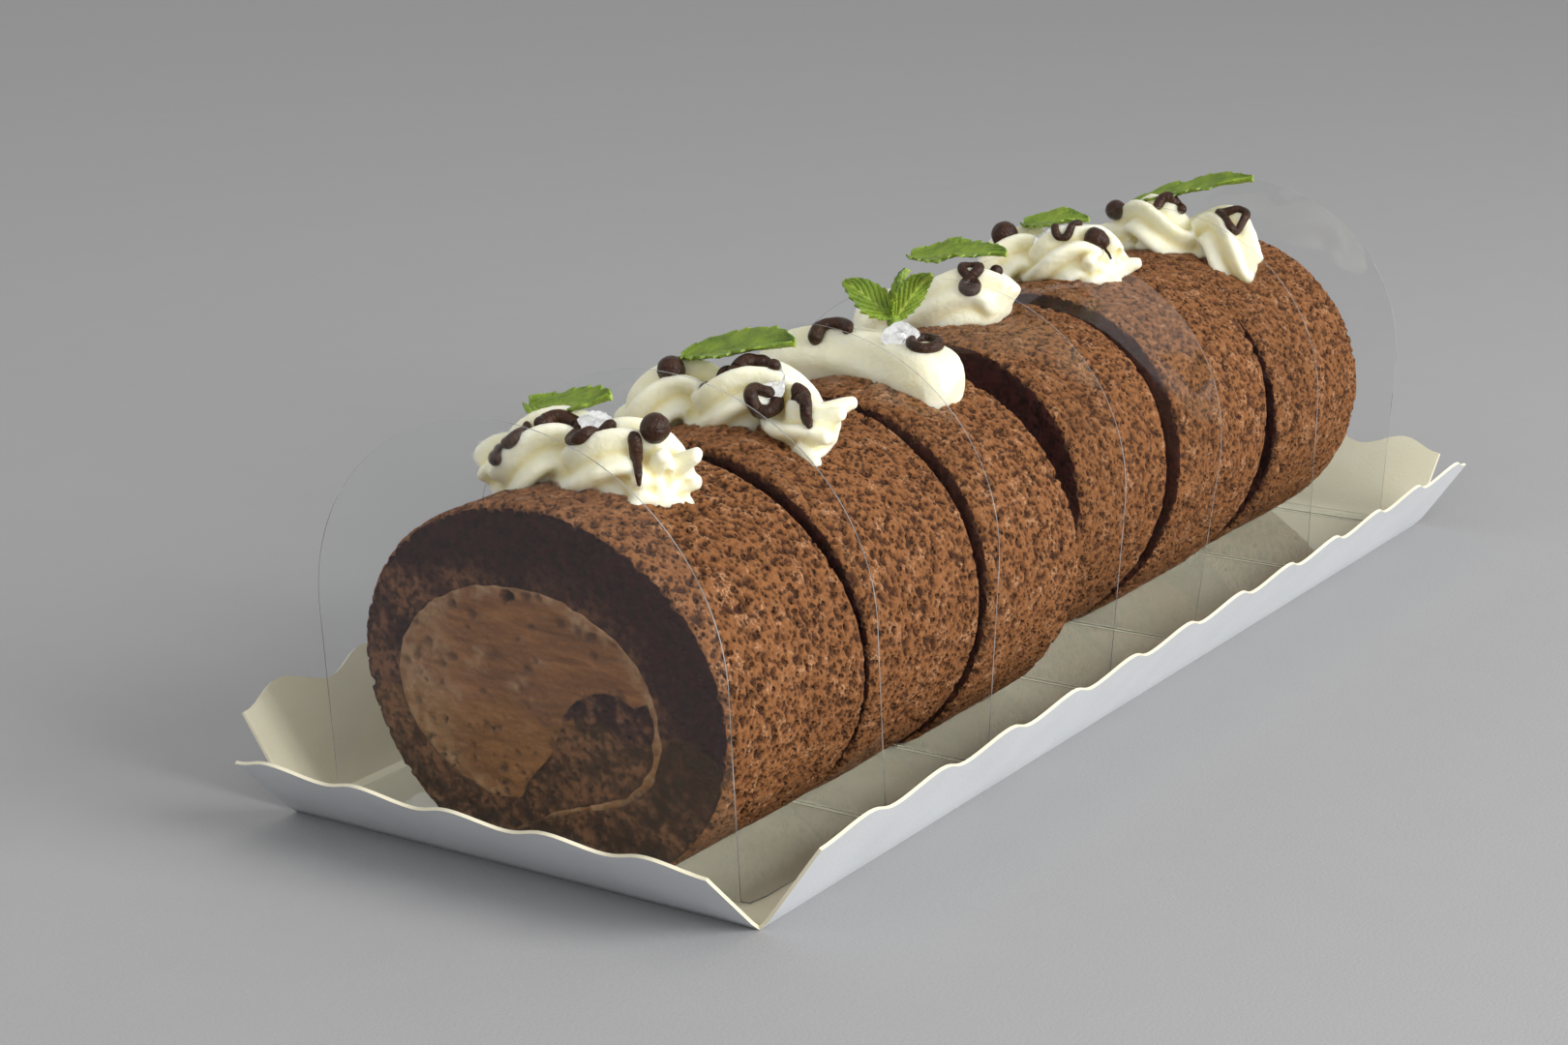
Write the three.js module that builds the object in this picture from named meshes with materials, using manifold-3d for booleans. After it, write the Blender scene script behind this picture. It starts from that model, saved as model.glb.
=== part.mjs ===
// Chocolate swiss roll cut into six slices, with clear dividers between them, in a folded card case.
// Millimetres. +Z up, +Y along the roll away from its front cut face, +X to the right of that face.
// The origin is on the underside of the card case, at its centre.

import * as THREE from 'three';
import { mergeVertices } from 'three/addons/utils/BufferGeometryUtils.js';
import Module from 'manifold-3d';

const wasm = await Module();
wasm.setup();

// ---------------------------------------------------------------------------------------------
// Driving dimensions
// ---------------------------------------------------------------------------------------------

const GAP = 0.3; // left between neighbouring pieces

const CASE = {
  width: 98.8, // floor, between the side folds
  length: 276.9, // floor, between the end folds
  card: 0.6,
  flapHeight: 20, // along the slope, at the flap's corners
  sideSlope: 54.9, // degrees above the table
  endSlope: 43.6,
  sideScallops: 12,
  endScallops: 5,
  scallopRise: 3.4,
  pointsPerScallop: 6,
};

const FILM = {
  thickness: 0.25,
  halfWidth: 43,
  straight: 37.3, // height of the upright sides
  arch: 39.8, // height of the rounded top above them
  archSteps: 12,
  footHalfWidth: 44.8,
  footCorner: 6,
  fold: 0.1, // how far the foot reaches past the upright's face
};

const ROLL = {
  halfWidth: 38.2,
  halfHeight: 34,
  steps: 34,
  core: { x: -3, z: -1, halfWidth: 27.3, halfHeight: 20, steps: 20 }, // the filled middle
  tailWidth: 1.3, // thin filling between the overlapping sponge layers
};

const ROPE = { sides: 12, lobeDepth: 0.15, stations: 9, turns: 0.8, lift: 2.6 };

const footTop = CASE.card + GAP + FILM.thickness;
const rest = footTop + GAP; // height of the cake's flattened underside

// Dividers, front to back: where the upright leaves the floor, and its lean (degrees, + is backwards).
const FILMS = [
  { x: -0.6, y: -133.5, lean: -4 },
  { x: 0.9, y: -90.4, lean: -4.2 },
  { x: 2.2, y: -56.9, lean: 5.6 },
  { x: 2.5, y: -9.5, lean: 8.5 },
  { x: 2.5, y: 27.6, lean: 16.85 },
  { x: 1.5, y: 87.6, lean: 4.4 },
  { x: 0.6, y: 131.2, lean: 8.8 },
];

// Slices, front to back. A face is a plane that starts at y on the floor and leans back by lean.
// Above the height bend it leans by upper instead. yaw turns a face about the slice's middle.
const SLICES = [
  {
    x: 3.6, size: 1.003, middle: 30.0,
    front: { y: -132.9, lean: -4 },
    back: { y: -91.0, lean: -4.4 },
  },
  {
    x: 3.8, size: 1.01, middle: 30.2,
    front: { y: -89.9, lean: -4.1, bend: 34, upper: 0 },
    back: { y: -57.5, lean: 5.5 },
  },
  {
    x: 5.2, size: 1.008, middle: 30.0,
    front: { y: -56.3, lean: 5.6, bend: 28, upper: 10 },
    back: { y: -16.4, lean: 1.2, yaw: -4.3 },
  },
  {
    x: -2.9, size: 0.995, middle: 30.1,
    front: { y: -8.5, lean: 13.0 },
    back: { y: 27.0, lean: 16.7 },
  },
  {
    x: -1.7, size: 1.03, middle: 31.4,
    front: { y: 28.2, lean: 17 },
    back: { y: 67.9, lean: 20 },
  },
  {
    x: -3.1, size: 1.01, middle: 30.6,
    front: { y: 88.7, lean: 5.1 },
    back: { y: 130.5, lean: 8.5 },
  },
];

// Piped cream, one rope to a slice: its ends across the roll, its place along it, its half width
// and how many swells it has.
const CREAMS = [
  { from: -20, to: 20.5, y: -117.5, radius: 9.4, swells: 3 },
  { from: -24, to: 23.5, y: -72.0, radius: 9.8, swells: 4 },
  { from: -22, to: 24, y: -26.5, radius: 9.2, swells: 2 },
  { from: -30, to: 3.5, y: 26.5, radius: 9.4, swells: 2 },
  { from: -26, to: 8.5, y: 67.5, radius: 9.6, swells: 3 },
  { from: -23, to: 19, y: 115.0, radius: 10.6, swells: 4 },
];

// Chocolate pieces on each rope: at is the place along the rope from 0 to 1, tilt the angle towards
// the front from the rope's outer side, size its reach, wire its half thickness and turn, in degrees,
// how far its line is turned on the cream.
const CHOCOLATES = [
  [
    { name: 'zigzag', kind: 'zigzag', at: 0.2, tilt: 34, size: 4.2, wire: 1.1, turn: 10 },
    { name: 'arc', kind: 'arc', at: 0.37, tilt: 8, size: 4.6, wire: 1.6, turn: 20 },
    { name: 'hook', kind: 'arc', at: 0.53, tilt: 26, size: 3.4, wire: 1.1, turn: -30 },
    { name: 'bead', kind: 'bead', at: 0.86, tilt: 4, size: 3.3 },
    { name: 'stick', kind: 'stick', at: 0.74, tilt: 42, size: 4.2, wire: 0.8, turn: 80 },
  ],
  [
    { name: 'bead_left', kind: 'bead', at: 0.25, tilt: 14, size: 2.9 },
    { name: 'bead_mid', kind: 'bead', at: 0.42, tilt: 18, size: 2.7 },
    { name: 'arc', kind: 'arc', at: 0.57, tilt: 2, size: 3.6, wire: 1.2, turn: 0 },
    { name: 'cup', kind: 'bead', at: 0.64, tilt: 44, size: 3.0 },
    { name: 'stick', kind: 'stick', at: 0.86, tilt: 34, size: 5.2, wire: 0.9, turn: 62 },
  ],
  [
    { name: 'arc', kind: 'arc', at: 0.44, tilt: 10, size: 4.2, wire: 1.2, turn: 10 },
    { name: 'ring', kind: 'ring', at: 0.8, tilt: 20, size: 2.9, wire: 1.0, turn: 0 },
  ],
  [
    { name: 'arc', kind: 'arc', at: 0.3, tilt: 6, size: 4.2, wire: 1.3, turn: 0 },
    { name: 'eight', kind: 'ring', at: 0.68, tilt: 30, size: 3.0, wire: 1.1, turn: 0 },
    { name: 'bead', kind: 'bead', at: 0.7, tilt: -16, size: 2.6 },
  ],
  [
    { name: 'bead_left', kind: 'bead', at: 0.18, tilt: 14, size: 3.5 },
    { name: 'bead_mid', kind: 'bead', at: 0.57, tilt: 18, size: 2.9 },
    { name: 'bead_right', kind: 'bead', at: 0.77, tilt: 12, size: 3.3 },
  ],
  [
    { name: 'bead_left', kind: 'bead', at: 0.18, tilt: 8, size: 2.7 },
    { name: 'bead_mid', kind: 'bead', at: 0.42, tilt: 14, size: 2.5 },
    { name: 'loop', kind: 'ring', at: 0.74, tilt: 20, size: 3.8, wire: 1.0, turn: 0 },
  ],
];

// Mint on each rope, leaf by leaf. from and to are the stalk end and the tip, as across, forward of
// the rope's middle (+ is backwards) and up from the table. width is the widest breadth.
const MINTS = [
  [{ from: [-12, 3, 73.6], to: [6, 4.5, 77.6], width: 10, roll: -25 }],
  [{ from: [-15, 4, 72.8], to: [11, 4, 79.4], width: 13, roll: -30 }],
  [
    { from: [5, 3, 74.4], to: [-6.5, 3, 79.8], width: 7.5, roll: -40 },
    { from: [5, 3, 74.4], to: [14, 3, 84.2], width: 7, roll: -45 },
    { from: [5, 3, 74.4], to: [2.6, 6.5, 83], width: 6, roll: -30 },
  ],
  [{ from: [-24, 3.5, 75.0], to: [0, 3.5, 78.0], width: 11, roll: -15 }],
  [{ from: [-19, 3.5, 75.0], to: [-2.5, 3.5, 78.6], width: 9, roll: -15 }],
  [{ from: [-17, 4, 73.6], to: [14.5, 4, 83.4], width: 10, roll: -20 }],
];

const LEAF = { thickness: 0.7, stations: 5, belly: 1.6, bud: 1.7 };

// ---------------------------------------------------------------------------------------------
// Materials
// ---------------------------------------------------------------------------------------------

const finish = (color, roughness, extra = {}) =>
  new THREE.MeshStandardMaterial({ color, roughness, metalness: 0, flatShading: true, ...extra });

const looks = {
  card: () => finish('#f1eee2', 0.6),
  film: () => finish('#e8edf2', 0.08, { transparent: true, opacity: 0.3 }),
  sponge: () => finish('#6b3a22', 0.9),
  filling: () => finish('#8f6247', 0.7),
  cream: () => finish('#f6f1d8', 0.45),
  chocolate: () => finish('#24120c', 0.3),
  mint: () => finish('#4f8f1f', 0.55),
};

// ---------------------------------------------------------------------------------------------
// Geometry helpers
// ---------------------------------------------------------------------------------------------

const rad = THREE.MathUtils.degToRad;
const slope = (degrees) => Math.tan(rad(degrees));

function toSolid(geometry, matrix) {
  const bare = geometry.clone();
  bare.deleteAttribute('normal');
  bare.deleteAttribute('uv');
  if (matrix) bare.applyMatrix4(matrix);
  const merged = mergeVertices(bare, 1e-4);
  return new wasm.Manifold(new wasm.Mesh({
    numProp: 3,
    vertProperties: new Float32Array(merged.attributes.position.array),
    triVerts: new Uint32Array(merged.index.array),
  }));
}

function largest(solid) {
  const parts = solid.decompose();
  return parts.reduce((best, part) => (part.volume() > best.volume() ? part : best));
}

function toMesh(name, solid, material) {
  const { vertProperties, triVerts } = largest(solid).getMesh();
  const geometry = new THREE.BufferGeometry();
  geometry.setAttribute('position', new THREE.BufferAttribute(vertProperties, 3));
  geometry.setIndex(new THREE.BufferAttribute(triVerts, 1));
  geometry.computeVertexNormals();
  const mesh = new THREE.Mesh(geometry, material);
  mesh.name = name;
  return mesh;
}

// A closed body through equal rings of points, with a flat end on each side.
function loft(rings) {
  const count = rings[0].length;
  const positions = rings.flat().flatMap((p) => [p.x, p.y, p.z]);
  const index = [];
  for (let r = 0; r < rings.length - 1; r += 1) {
    for (let i = 0; i < count; i += 1) {
      const a = r * count + i;
      const b = r * count + ((i + 1) % count);
      index.push(a, b, b + count, a, b + count, a + count);
    }
  }
  const last = (rings.length - 1) * count;
  for (let i = 1; i < count - 1; i += 1) {
    index.push(0, i + 1, i);
    index.push(last, last + i, last + i + 1);
  }
  const geometry = new THREE.BufferGeometry();
  geometry.setAttribute('position', new THREE.Float32BufferAttribute(positions, 3));
  geometry.setIndex(index);
  return geometry;
}

// A loft whose rings may run either way round: the body is returned with its volume positive.
function loftSolid(rings) {
  const solid = toSolid(loft(rings));
  if (solid.volume() > 0) return solid;
  return toSolid(loft(rings.map((ring) => [...ring].reverse())));
}

// An outline in (across, up) drawn out along Y from y0 to y1.
function prism(outline, y0, y1) {
  const shape = new THREE.Shape(outline);
  const geometry = new THREE.ExtrudeGeometry(shape, { depth: y1 - y0, bevelEnabled: false, steps: 1 });
  const place = new THREE.Matrix4().makeRotationX(Math.PI / 2).setPosition(0, y1, 0);
  return toSolid(geometry, place);
}

function ellipse(x, z, halfWidth, halfHeight, steps) {
  return Array.from({ length: steps }, (_, i) => {
    const a = (2 * Math.PI * i) / steps;
    return new THREE.Vector2(x + halfWidth * Math.cos(a), z + halfHeight * Math.sin(a));
  });
}

// Moves each point of a counter-clockwise outline outwards by distance.
function grow(outline, distance) {
  return outline.map((p, i) => {
    const before = outline[(i + outline.length - 1) % outline.length];
    const after = outline[(i + 1) % outline.length];
    const along = after.clone().sub(before).normalize();
    return new THREE.Vector2(p.x + along.y * distance, p.y - along.x * distance);
  });
}

// A strip of even width on both sides of a line.
function strip(line, halfWidth) {
  const sides = line.map((p, i) => {
    const before = line[Math.max(i - 1, 0)];
    const after = line[Math.min(i + 1, line.length - 1)];
    const along = after.clone().sub(before).normalize();
    return new THREE.Vector2(-along.y, along.x).multiplyScalar(halfWidth);
  });
  const left = line.map((p, i) => p.clone().add(sides[i]));
  const right = line.map((p, i) => p.clone().sub(sides[i]));
  const outline = [...right, ...left.reverse()];
  return THREE.ShapeUtils.area(outline) > 0 ? outline : outline.reverse();
}

const points = (list) => list.map(([x, z]) => new THREE.Vector2(x, z));
const smooth = (list, steps) => new THREE.SplineCurve(points(list)).getPoints(steps);

// ---------------------------------------------------------------------------------------------
// Card case
// ---------------------------------------------------------------------------------------------

// A flap that stands on its fold: the fold runs along X from -length/2, the flap rises along Z.
function flap(length, scallops) {
  const steps = scallops * CASE.pointsPerScallop;
  const outline = [new THREE.Vector2(-length / 2, 0), new THREE.Vector2(length / 2, 0)];
  for (let i = steps; i >= 0; i -= 1) {
    const wave = (1 - Math.cos((2 * Math.PI * i) / CASE.pointsPerScallop)) / 2;
    outline.push(new THREE.Vector2(
      -length / 2 + (length * i) / steps,
      CASE.flapHeight + CASE.scallopRise * wave,
    ));
  }
  return prism(outline, 0, CASE.card);
}

function paperCase() {
  const floor = new THREE.BoxGeometry(CASE.width, CASE.length, CASE.card);
  let body = toSolid(floor, new THREE.Matrix4().makeTranslation(0, 0, CASE.card / 2));
  const sides = [
    { turn: 0, length: CASE.width, reach: CASE.length / 2, lean: CASE.endSlope, scallops: CASE.endScallops },
    { turn: 90, length: CASE.length, reach: CASE.width / 2, lean: CASE.sideSlope, scallops: CASE.sideScallops },
    { turn: 180, length: CASE.width, reach: CASE.length / 2, lean: CASE.endSlope, scallops: CASE.endScallops },
    { turn: 270, length: CASE.length, reach: CASE.width / 2, lean: CASE.sideSlope, scallops: CASE.sideScallops },
  ];
  for (const side of sides) {
    const place = new THREE.Matrix4().makeRotationZ(rad(side.turn));
    place.multiply(new THREE.Matrix4().makeTranslation(0, -side.reach, 0));
    place.multiply(new THREE.Matrix4().makeRotationX(rad(90 - side.lean)));
    body = body.add(flap(side.length, side.scallops).transform(place.elements));
  }
  return toMesh('paper_case', body, looks.card());
}

// ---------------------------------------------------------------------------------------------
// Clear dividers
// ---------------------------------------------------------------------------------------------

function archOutline() {
  const { halfWidth, straight, arch, archSteps } = FILM;
  const outline = [new THREE.Vector2(-halfWidth, 0), new THREE.Vector2(halfWidth, 0)];
  for (let i = 0; i <= archSteps; i += 1) {
    const a = (Math.PI * i) / archSteps;
    outline.push(new THREE.Vector2(halfWidth * Math.cos(a), straight + arch * Math.sin(a)));
  }
  return outline;
}

// The foot lies on the floor behind the upright; its front corners are rounded.
function footOutline(depth) {
  const { footHalfWidth: half, footCorner: corner, halfWidth } = FILM;
  const round = Math.min(corner, depth / 2);
  const side = [new THREE.Vector2(halfWidth, 0)];
  for (let i = 1; i <= 4; i += 1) {
    const a = (Math.PI / 2) * (i / 4);
    side.push(new THREE.Vector2(halfWidth + (half - halfWidth) * Math.sin(a), round * (1 - Math.cos(a))));
  }
  side.push(new THREE.Vector2(half, depth));
  const mirrored = side.map((p) => new THREE.Vector2(-p.x, p.y)).reverse();
  return [...side, ...mirrored];
}

function filmBody(film, index) {
  const next = FILMS[index + 1];
  const end = next ? next.y - GAP - FILM.thickness : CASE.length / 2 - 1;
  const lean = new THREE.Matrix4().makeRotationX(rad(-film.lean));
  lean.setPosition(film.x, film.y, footTop - FILM.thickness + FILM.fold);
  const upright = prism(archOutline(), 0, FILM.thickness).transform(lean.elements);
  const shape = new THREE.Shape(footOutline(end - film.y));
  const sheet = new THREE.ExtrudeGeometry(shape, { depth: FILM.thickness, bevelEnabled: false });
  const flat = new THREE.Matrix4().makeTranslation(film.x, film.y - FILM.fold, footTop - FILM.thickness);
  return upright.add(toSolid(sheet, flat));
}

// ---------------------------------------------------------------------------------------------
// Cake slices
// ---------------------------------------------------------------------------------------------

function faceAt(face, middleX, x, z) {
  const bend = face.bend ?? 100;
  const lower = Math.min(z, bend) * slope(face.lean);
  const upper = Math.max(z - bend, 0) * slope(face.upper ?? face.lean);
  return face.y + lower + upper + (x - middleX) * slope(face.yaw ?? 0);
}

// The space between a slice's two cut faces, from its underside up.
function cutSpace(slice) {
  const reach = 60;
  const levels = [rest, slice.front.bend ?? 34, 80];
  const rings = levels.map((z) => [
    new THREE.Vector3(-reach, faceAt(slice.front, slice.x, -reach, z), z),
    new THREE.Vector3(reach, faceAt(slice.front, slice.x, reach, z), z),
    new THREE.Vector3(reach, faceAt(slice.back, slice.x, reach, z), z),
    new THREE.Vector3(-reach, faceAt(slice.back, slice.x, -reach, z), z),
  ]);
  return loftSolid(rings);
}

// The rolled sponge's inner end, which curls into the filled middle.
function innerEnd() {
  return smooth([
    [-9, -26], [-3.5, -15.5], [1.5, -10], [3.8, -4.8], [5.2, -0.9], [10, 2.2], [15.6, 2.9],
    [20.6, 1.4], [27, -2], [28, -14], [18, -24], [4, -28], [-9, -26],
  ], 18).slice(0, -1).reverse();
}

// Thin filling between the sponge layers, from the middle round to the seam underneath.
function seamLine() {
  return smooth([
    [20.4, 8], [23.2, 1], [23.6, -4], [22.2, -9.5], [18, -14.2], [11.5, -17.4], [4, -19.4],
    [-3, -22.6], [-9, -27], [-13, -32],
  ], 11);
}

function scaled(outline, slice) {
  return outline.map((p) => new THREE.Vector2(
    slice.x + p.x * slice.size,
    slice.middle + p.y * slice.size,
  ));
}

function counterClockwise(outline) {
  return THREE.ShapeUtils.area(outline) > 0 ? outline : [...outline].reverse();
}

function fillingBody(slice, extra, y0, y1) {
  const { core, tailWidth } = ROLL;
  const middle = ellipse(core.x, core.z, core.halfWidth + extra, core.halfHeight + extra, core.steps);
  const curl = grow(counterClockwise(innerEnd()), -extra);
  const tail = strip(seamLine(), tailWidth / 2 + extra);
  return prism(scaled(middle, slice), y0, y1)
    .subtract(prism(scaled(curl, slice), y0 - 1, y1 + 1))
    .add(prism(scaled(tail, slice), y0, y1));
}

function spongeOutline(slice, extra = 0) {
  const { halfWidth, halfHeight, steps } = ROLL;
  return scaled(ellipse(0, 0, halfWidth + extra, halfHeight + extra, steps), slice);
}

function sliceBodies(slice) {
  const reach = 40;
  const y0 = slice.front.y - reach;
  const y1 = slice.back.y + reach;
  const space = cutSpace(slice);
  const whole = prism(spongeOutline(slice), y0, y1);
  const sponge = whole.subtract(fillingBody(slice, GAP, y0 - 1, y1 + 1)).intersect(space);
  const filling = fillingBody(slice, 0, y0, y1).intersect(whole).intersect(space);
  return { sponge, filling };
}

// ---------------------------------------------------------------------------------------------
// Piped cream
// ---------------------------------------------------------------------------------------------

// The rope's middle line follows the top of the roll.
function ropePoint(slice, cream, t) {
  const x = cream.from + (cream.to - cream.from) * t;
  const halfWidth = ROLL.halfWidth * slice.size;
  const halfHeight = ROLL.halfHeight * slice.size;
  const across = (x - slice.x) / halfWidth;
  const up = Math.sqrt(1 - across * across);
  const normal = new THREE.Vector3(across / halfWidth, 0, up / halfHeight).normalize();
  const skin = new THREE.Vector3(x, cream.y, slice.middle + halfHeight * up);
  return { normal, centre: skin.addScaledVector(normal, ROPE.lift) };
}

function ropeRadius(cream, t) {
  const end = Math.sqrt(Math.max(1 - (2 * t - 1) ** 6, 0.02));
  const swell = 1 - 0.12 * (0.5 + 0.5 * Math.cos(2 * Math.PI * cream.swells * t));
  return cream.radius * end * swell;
}

function ropeRing(slice, cream, t) {
  const { centre, normal } = ropePoint(slice, cream, t);
  const radius = ropeRadius(cream, t);
  const front = new THREE.Vector3(0, -1, 0);
  return Array.from({ length: ROPE.sides }, (_, i) => {
    const a = (2 * Math.PI * i) / ROPE.sides;
    const twist = 2 * Math.PI * ROPE.turns * t;
    const lobe = 1 - (i % 2) * ROPE.lobeDepth;
    return centre.clone()
      .addScaledVector(normal, radius * lobe * Math.cos(a + twist))
      .addScaledVector(front, radius * lobe * Math.sin(a + twist));
  });
}

function creamBody(slice, cream) {
  const rings = Array.from({ length: ROPE.stations }, (_, i) => {
    const t = (1 - Math.cos((Math.PI * i) / (ROPE.stations - 1))) / 2;
    return ropeRing(slice, cream, t);
  });
  const under = prism(spongeOutline(slice, GAP), cream.y - 30, cream.y + 30);
  return loftSolid(rings).subtract(under);
}

// ---------------------------------------------------------------------------------------------
// Chocolate pieces
// ---------------------------------------------------------------------------------------------

// Each kind's middle line, in the plane that the piece lies in.
const chocolateLines = {
  arc: (size) => Array.from({ length: 6 }, (_, i) => {
    const a = Math.PI * (-0.15 + (1.3 * i) / 5);
    return [size * Math.cos(a), size * Math.sin(a) * 0.8];
  }),
  zigzag: (size) => [[-1, 0.7], [-0.8, -0.3], [-0.4, -0.8], [0, 0.2], [0.4, -0.8], [0.8, -0.3], [1, 0.7]]
    .map(([u, v]) => [u * size, v * size]),
  stick: (size) => [[-1, 0], [-0.3, 0.06], [0.4, -0.05], [1, 0]].map(([u, v]) => [u * size, v * size]),
};

// A round wire along a line, or a ring.
function wire(line, radius, sides = 5) {
  const curve = new THREE.CatmullRomCurve3(line);
  const steps = line.length + 1;
  const frames = curve.computeFrenetFrames(steps, false);
  const rings = Array.from({ length: steps + 1 }, (_, s) => {
    const centre = curve.getPointAt(s / steps);
    return Array.from({ length: sides }, (_unused, i) => {
      const a = (2 * Math.PI * i) / sides;
      return centre.clone()
        .addScaledVector(frames.normals[s], radius * Math.cos(a))
        .addScaledVector(frames.binormals[s], radius * Math.sin(a));
    });
  });
  return loftSolid(rings);
}

function chocolateBody(slice, cream, piece, extra) {
  const { centre, normal } = ropePoint(slice, cream, piece.at);
  const front = new THREE.Vector3(0, -1, 0);
  const tilt = rad(piece.tilt);
  const out = normal.clone().multiplyScalar(Math.cos(tilt)).addScaledVector(front, Math.sin(tilt));
  const seat = centre.clone().addScaledVector(out, ropeRadius(cream, piece.at) * (1 - ROPE.lobeDepth / 2));
  const sideways = new THREE.Vector3().crossVectors(out, front).normalize().negate();
  const u = sideways.clone().applyAxisAngle(out, rad(piece.turn ?? 0));
  const v = new THREE.Vector3().crossVectors(out, u);
  const basis = new THREE.Matrix4().makeBasis(u, v, out);
  if (piece.kind === 'bead') {
    const ball = new THREE.SphereGeometry(piece.size + extra, 8, 6);
    basis.setPosition(seat.addScaledVector(out, piece.size * 0.35));
    return toSolid(ball, basis);
  }
  if (piece.kind === 'ring') {
    const torus = new THREE.TorusGeometry(piece.size, piece.wire + extra, 5, 10);
    basis.setPosition(seat.addScaledVector(out, piece.wire * 0.3));
    return toSolid(torus, basis);
  }
  const line = chocolateLines[piece.kind](piece.size).map(([a, b]) => seat.clone()
    .addScaledVector(u, a)
    .addScaledVector(v, b)
    .addScaledVector(out, piece.wire * 0.2));
  return wire(line, piece.wire + extra);
}

// ---------------------------------------------------------------------------------------------
// Mint
// ---------------------------------------------------------------------------------------------

function leafBody(cream, leaf, extra) {
  const start = new THREE.Vector3(leaf.from[0], cream.y + leaf.from[1], leaf.from[2]);
  const tip = new THREE.Vector3(leaf.to[0], cream.y + leaf.to[1], leaf.to[2]);
  const along = tip.clone().sub(start).normalize();
  const up = new THREE.Vector3(0, 0, 1);
  const side = new THREE.Vector3().crossVectors(along, up).normalize().applyAxisAngle(along, rad(leaf.roll));
  const top = new THREE.Vector3().crossVectors(side, along);
  const half = LEAF.thickness / 2 + extra;
  const rings = Array.from({ length: LEAF.stations + 1 }, (_, i) => {
    const t = i / LEAF.stations;
    const breadth = (leaf.width / 2) * Math.sin(Math.PI * (0.06 + 0.9 * t)) ** 0.8 + extra;
    const centre = start.clone().lerp(tip, t).addScaledVector(top, LEAF.belly * Math.sin(Math.PI * t));
    const at = (s, h) => centre.clone().addScaledVector(side, s * breadth).addScaledVector(top, h);
    return [at(-1, half * 0.6), at(0, half - 0.5), at(1, half * 0.6), at(1, -half * 0.6), at(0, -half - 0.5),
      at(-1, -half * 0.6)];
  });
  return loftSolid(rings);
}

// Leaves that share a stalk grow from a small bud.
function mintBody(cream, leaves, extra) {
  const bodies = leaves.map((leaf) => leafBody(cream, leaf, extra));
  if (leaves.length > 1) {
    const [x, y, z] = leaves[0].from;
    const bud = new THREE.SphereGeometry(LEAF.bud + extra, 6, 4);
    bodies.push(toSolid(bud, new THREE.Matrix4().makeTranslation(x, cream.y + y, z)));
  }
  return bodies.reduce((whole, body) => whole.add(body));
}

// ---------------------------------------------------------------------------------------------
// The whole part
// ---------------------------------------------------------------------------------------------

const group = new THREE.Group();
group.add(paperCase());
FILMS.forEach((film, i) => group.add(toMesh(`film_${i}`, filmBody(film, i), looks.film())));

SLICES.forEach((slice, i) => {
  const number = i + 1;
  const cream = CREAMS[i];
  const { sponge, filling } = sliceBodies(slice);
  group.add(toMesh(`sponge_${number}`, sponge, looks.sponge()));
  group.add(toMesh(`filling_${number}`, filling, looks.filling()));

  const mint = mintBody(cream, MINTS[i], 0);
  const mintRoom = mintBody(cream, MINTS[i], GAP);
  let taken = mintRoom;
  for (const piece of CHOCOLATES[i]) {
    const body = chocolateBody(slice, cream, piece, 0).subtract(taken);
    taken = taken.add(chocolateBody(slice, cream, piece, GAP));
    group.add(toMesh(`chocolate_${number}_${piece.name}`, body, looks.chocolate()));
  }
  group.add(toMesh(`cream_${number}`, creamBody(slice, cream).subtract(taken), looks.cream()));
  group.add(toMesh(`mint_${number}`, mint, looks.mint()));
});

export default group;
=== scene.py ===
"""Chocolate swiss roll in six slices: crumb, filling, piped cream, toppings, clear dividers and card case.

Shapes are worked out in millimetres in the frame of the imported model. They turn into metres where a mesh
is made.
"""

from __future__ import annotations

import logging
import math
from dataclasses import dataclass, field
from enum import Enum

import bmesh
import bpy
import numpy as np
from mathutils import Matrix, Vector
from mathutils.bvhtree import BVHTree
from mathutils.geometry import delaunay_2d_cdt


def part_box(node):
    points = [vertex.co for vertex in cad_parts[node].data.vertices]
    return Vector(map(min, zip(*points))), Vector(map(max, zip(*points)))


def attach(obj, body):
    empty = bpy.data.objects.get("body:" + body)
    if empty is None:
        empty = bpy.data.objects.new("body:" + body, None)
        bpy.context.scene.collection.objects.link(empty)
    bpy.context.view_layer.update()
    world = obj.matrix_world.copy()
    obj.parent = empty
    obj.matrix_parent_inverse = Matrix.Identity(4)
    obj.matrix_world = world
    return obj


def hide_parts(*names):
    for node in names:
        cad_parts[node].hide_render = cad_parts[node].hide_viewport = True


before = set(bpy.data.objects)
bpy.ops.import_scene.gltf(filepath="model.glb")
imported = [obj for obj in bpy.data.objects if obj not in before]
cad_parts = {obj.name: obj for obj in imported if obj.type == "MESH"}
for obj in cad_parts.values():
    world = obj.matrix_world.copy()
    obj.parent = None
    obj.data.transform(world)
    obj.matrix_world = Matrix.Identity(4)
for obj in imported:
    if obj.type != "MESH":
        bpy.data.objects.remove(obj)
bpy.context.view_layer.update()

log = logging.getLogger("swiss_roll")

MM = 0.001
CARD_THICKNESS = 0.6
FILM_THICKNESS = 0.25
GAP = 0.3
FILM_TOP = CARD_THICKNESS + GAP + FILM_THICKNESS
CAKE_REST = FILM_TOP + GAP
STREAK_ANGLE = 24


class Slot(Enum):
    """The material slots."""

    CARD = "card"
    FILM = "clear_film"
    SPONGE = "sponge"
    FILLING = "filling"
    CREAM = "whipped_cream"
    CHOCOLATE = "dark_chocolate"
    MINT = "mint"
    SILVER = "silver_flake"


# ---------------------------------------------------------------------------------------------
# Noise on arrays of points
# ---------------------------------------------------------------------------------------------


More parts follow.
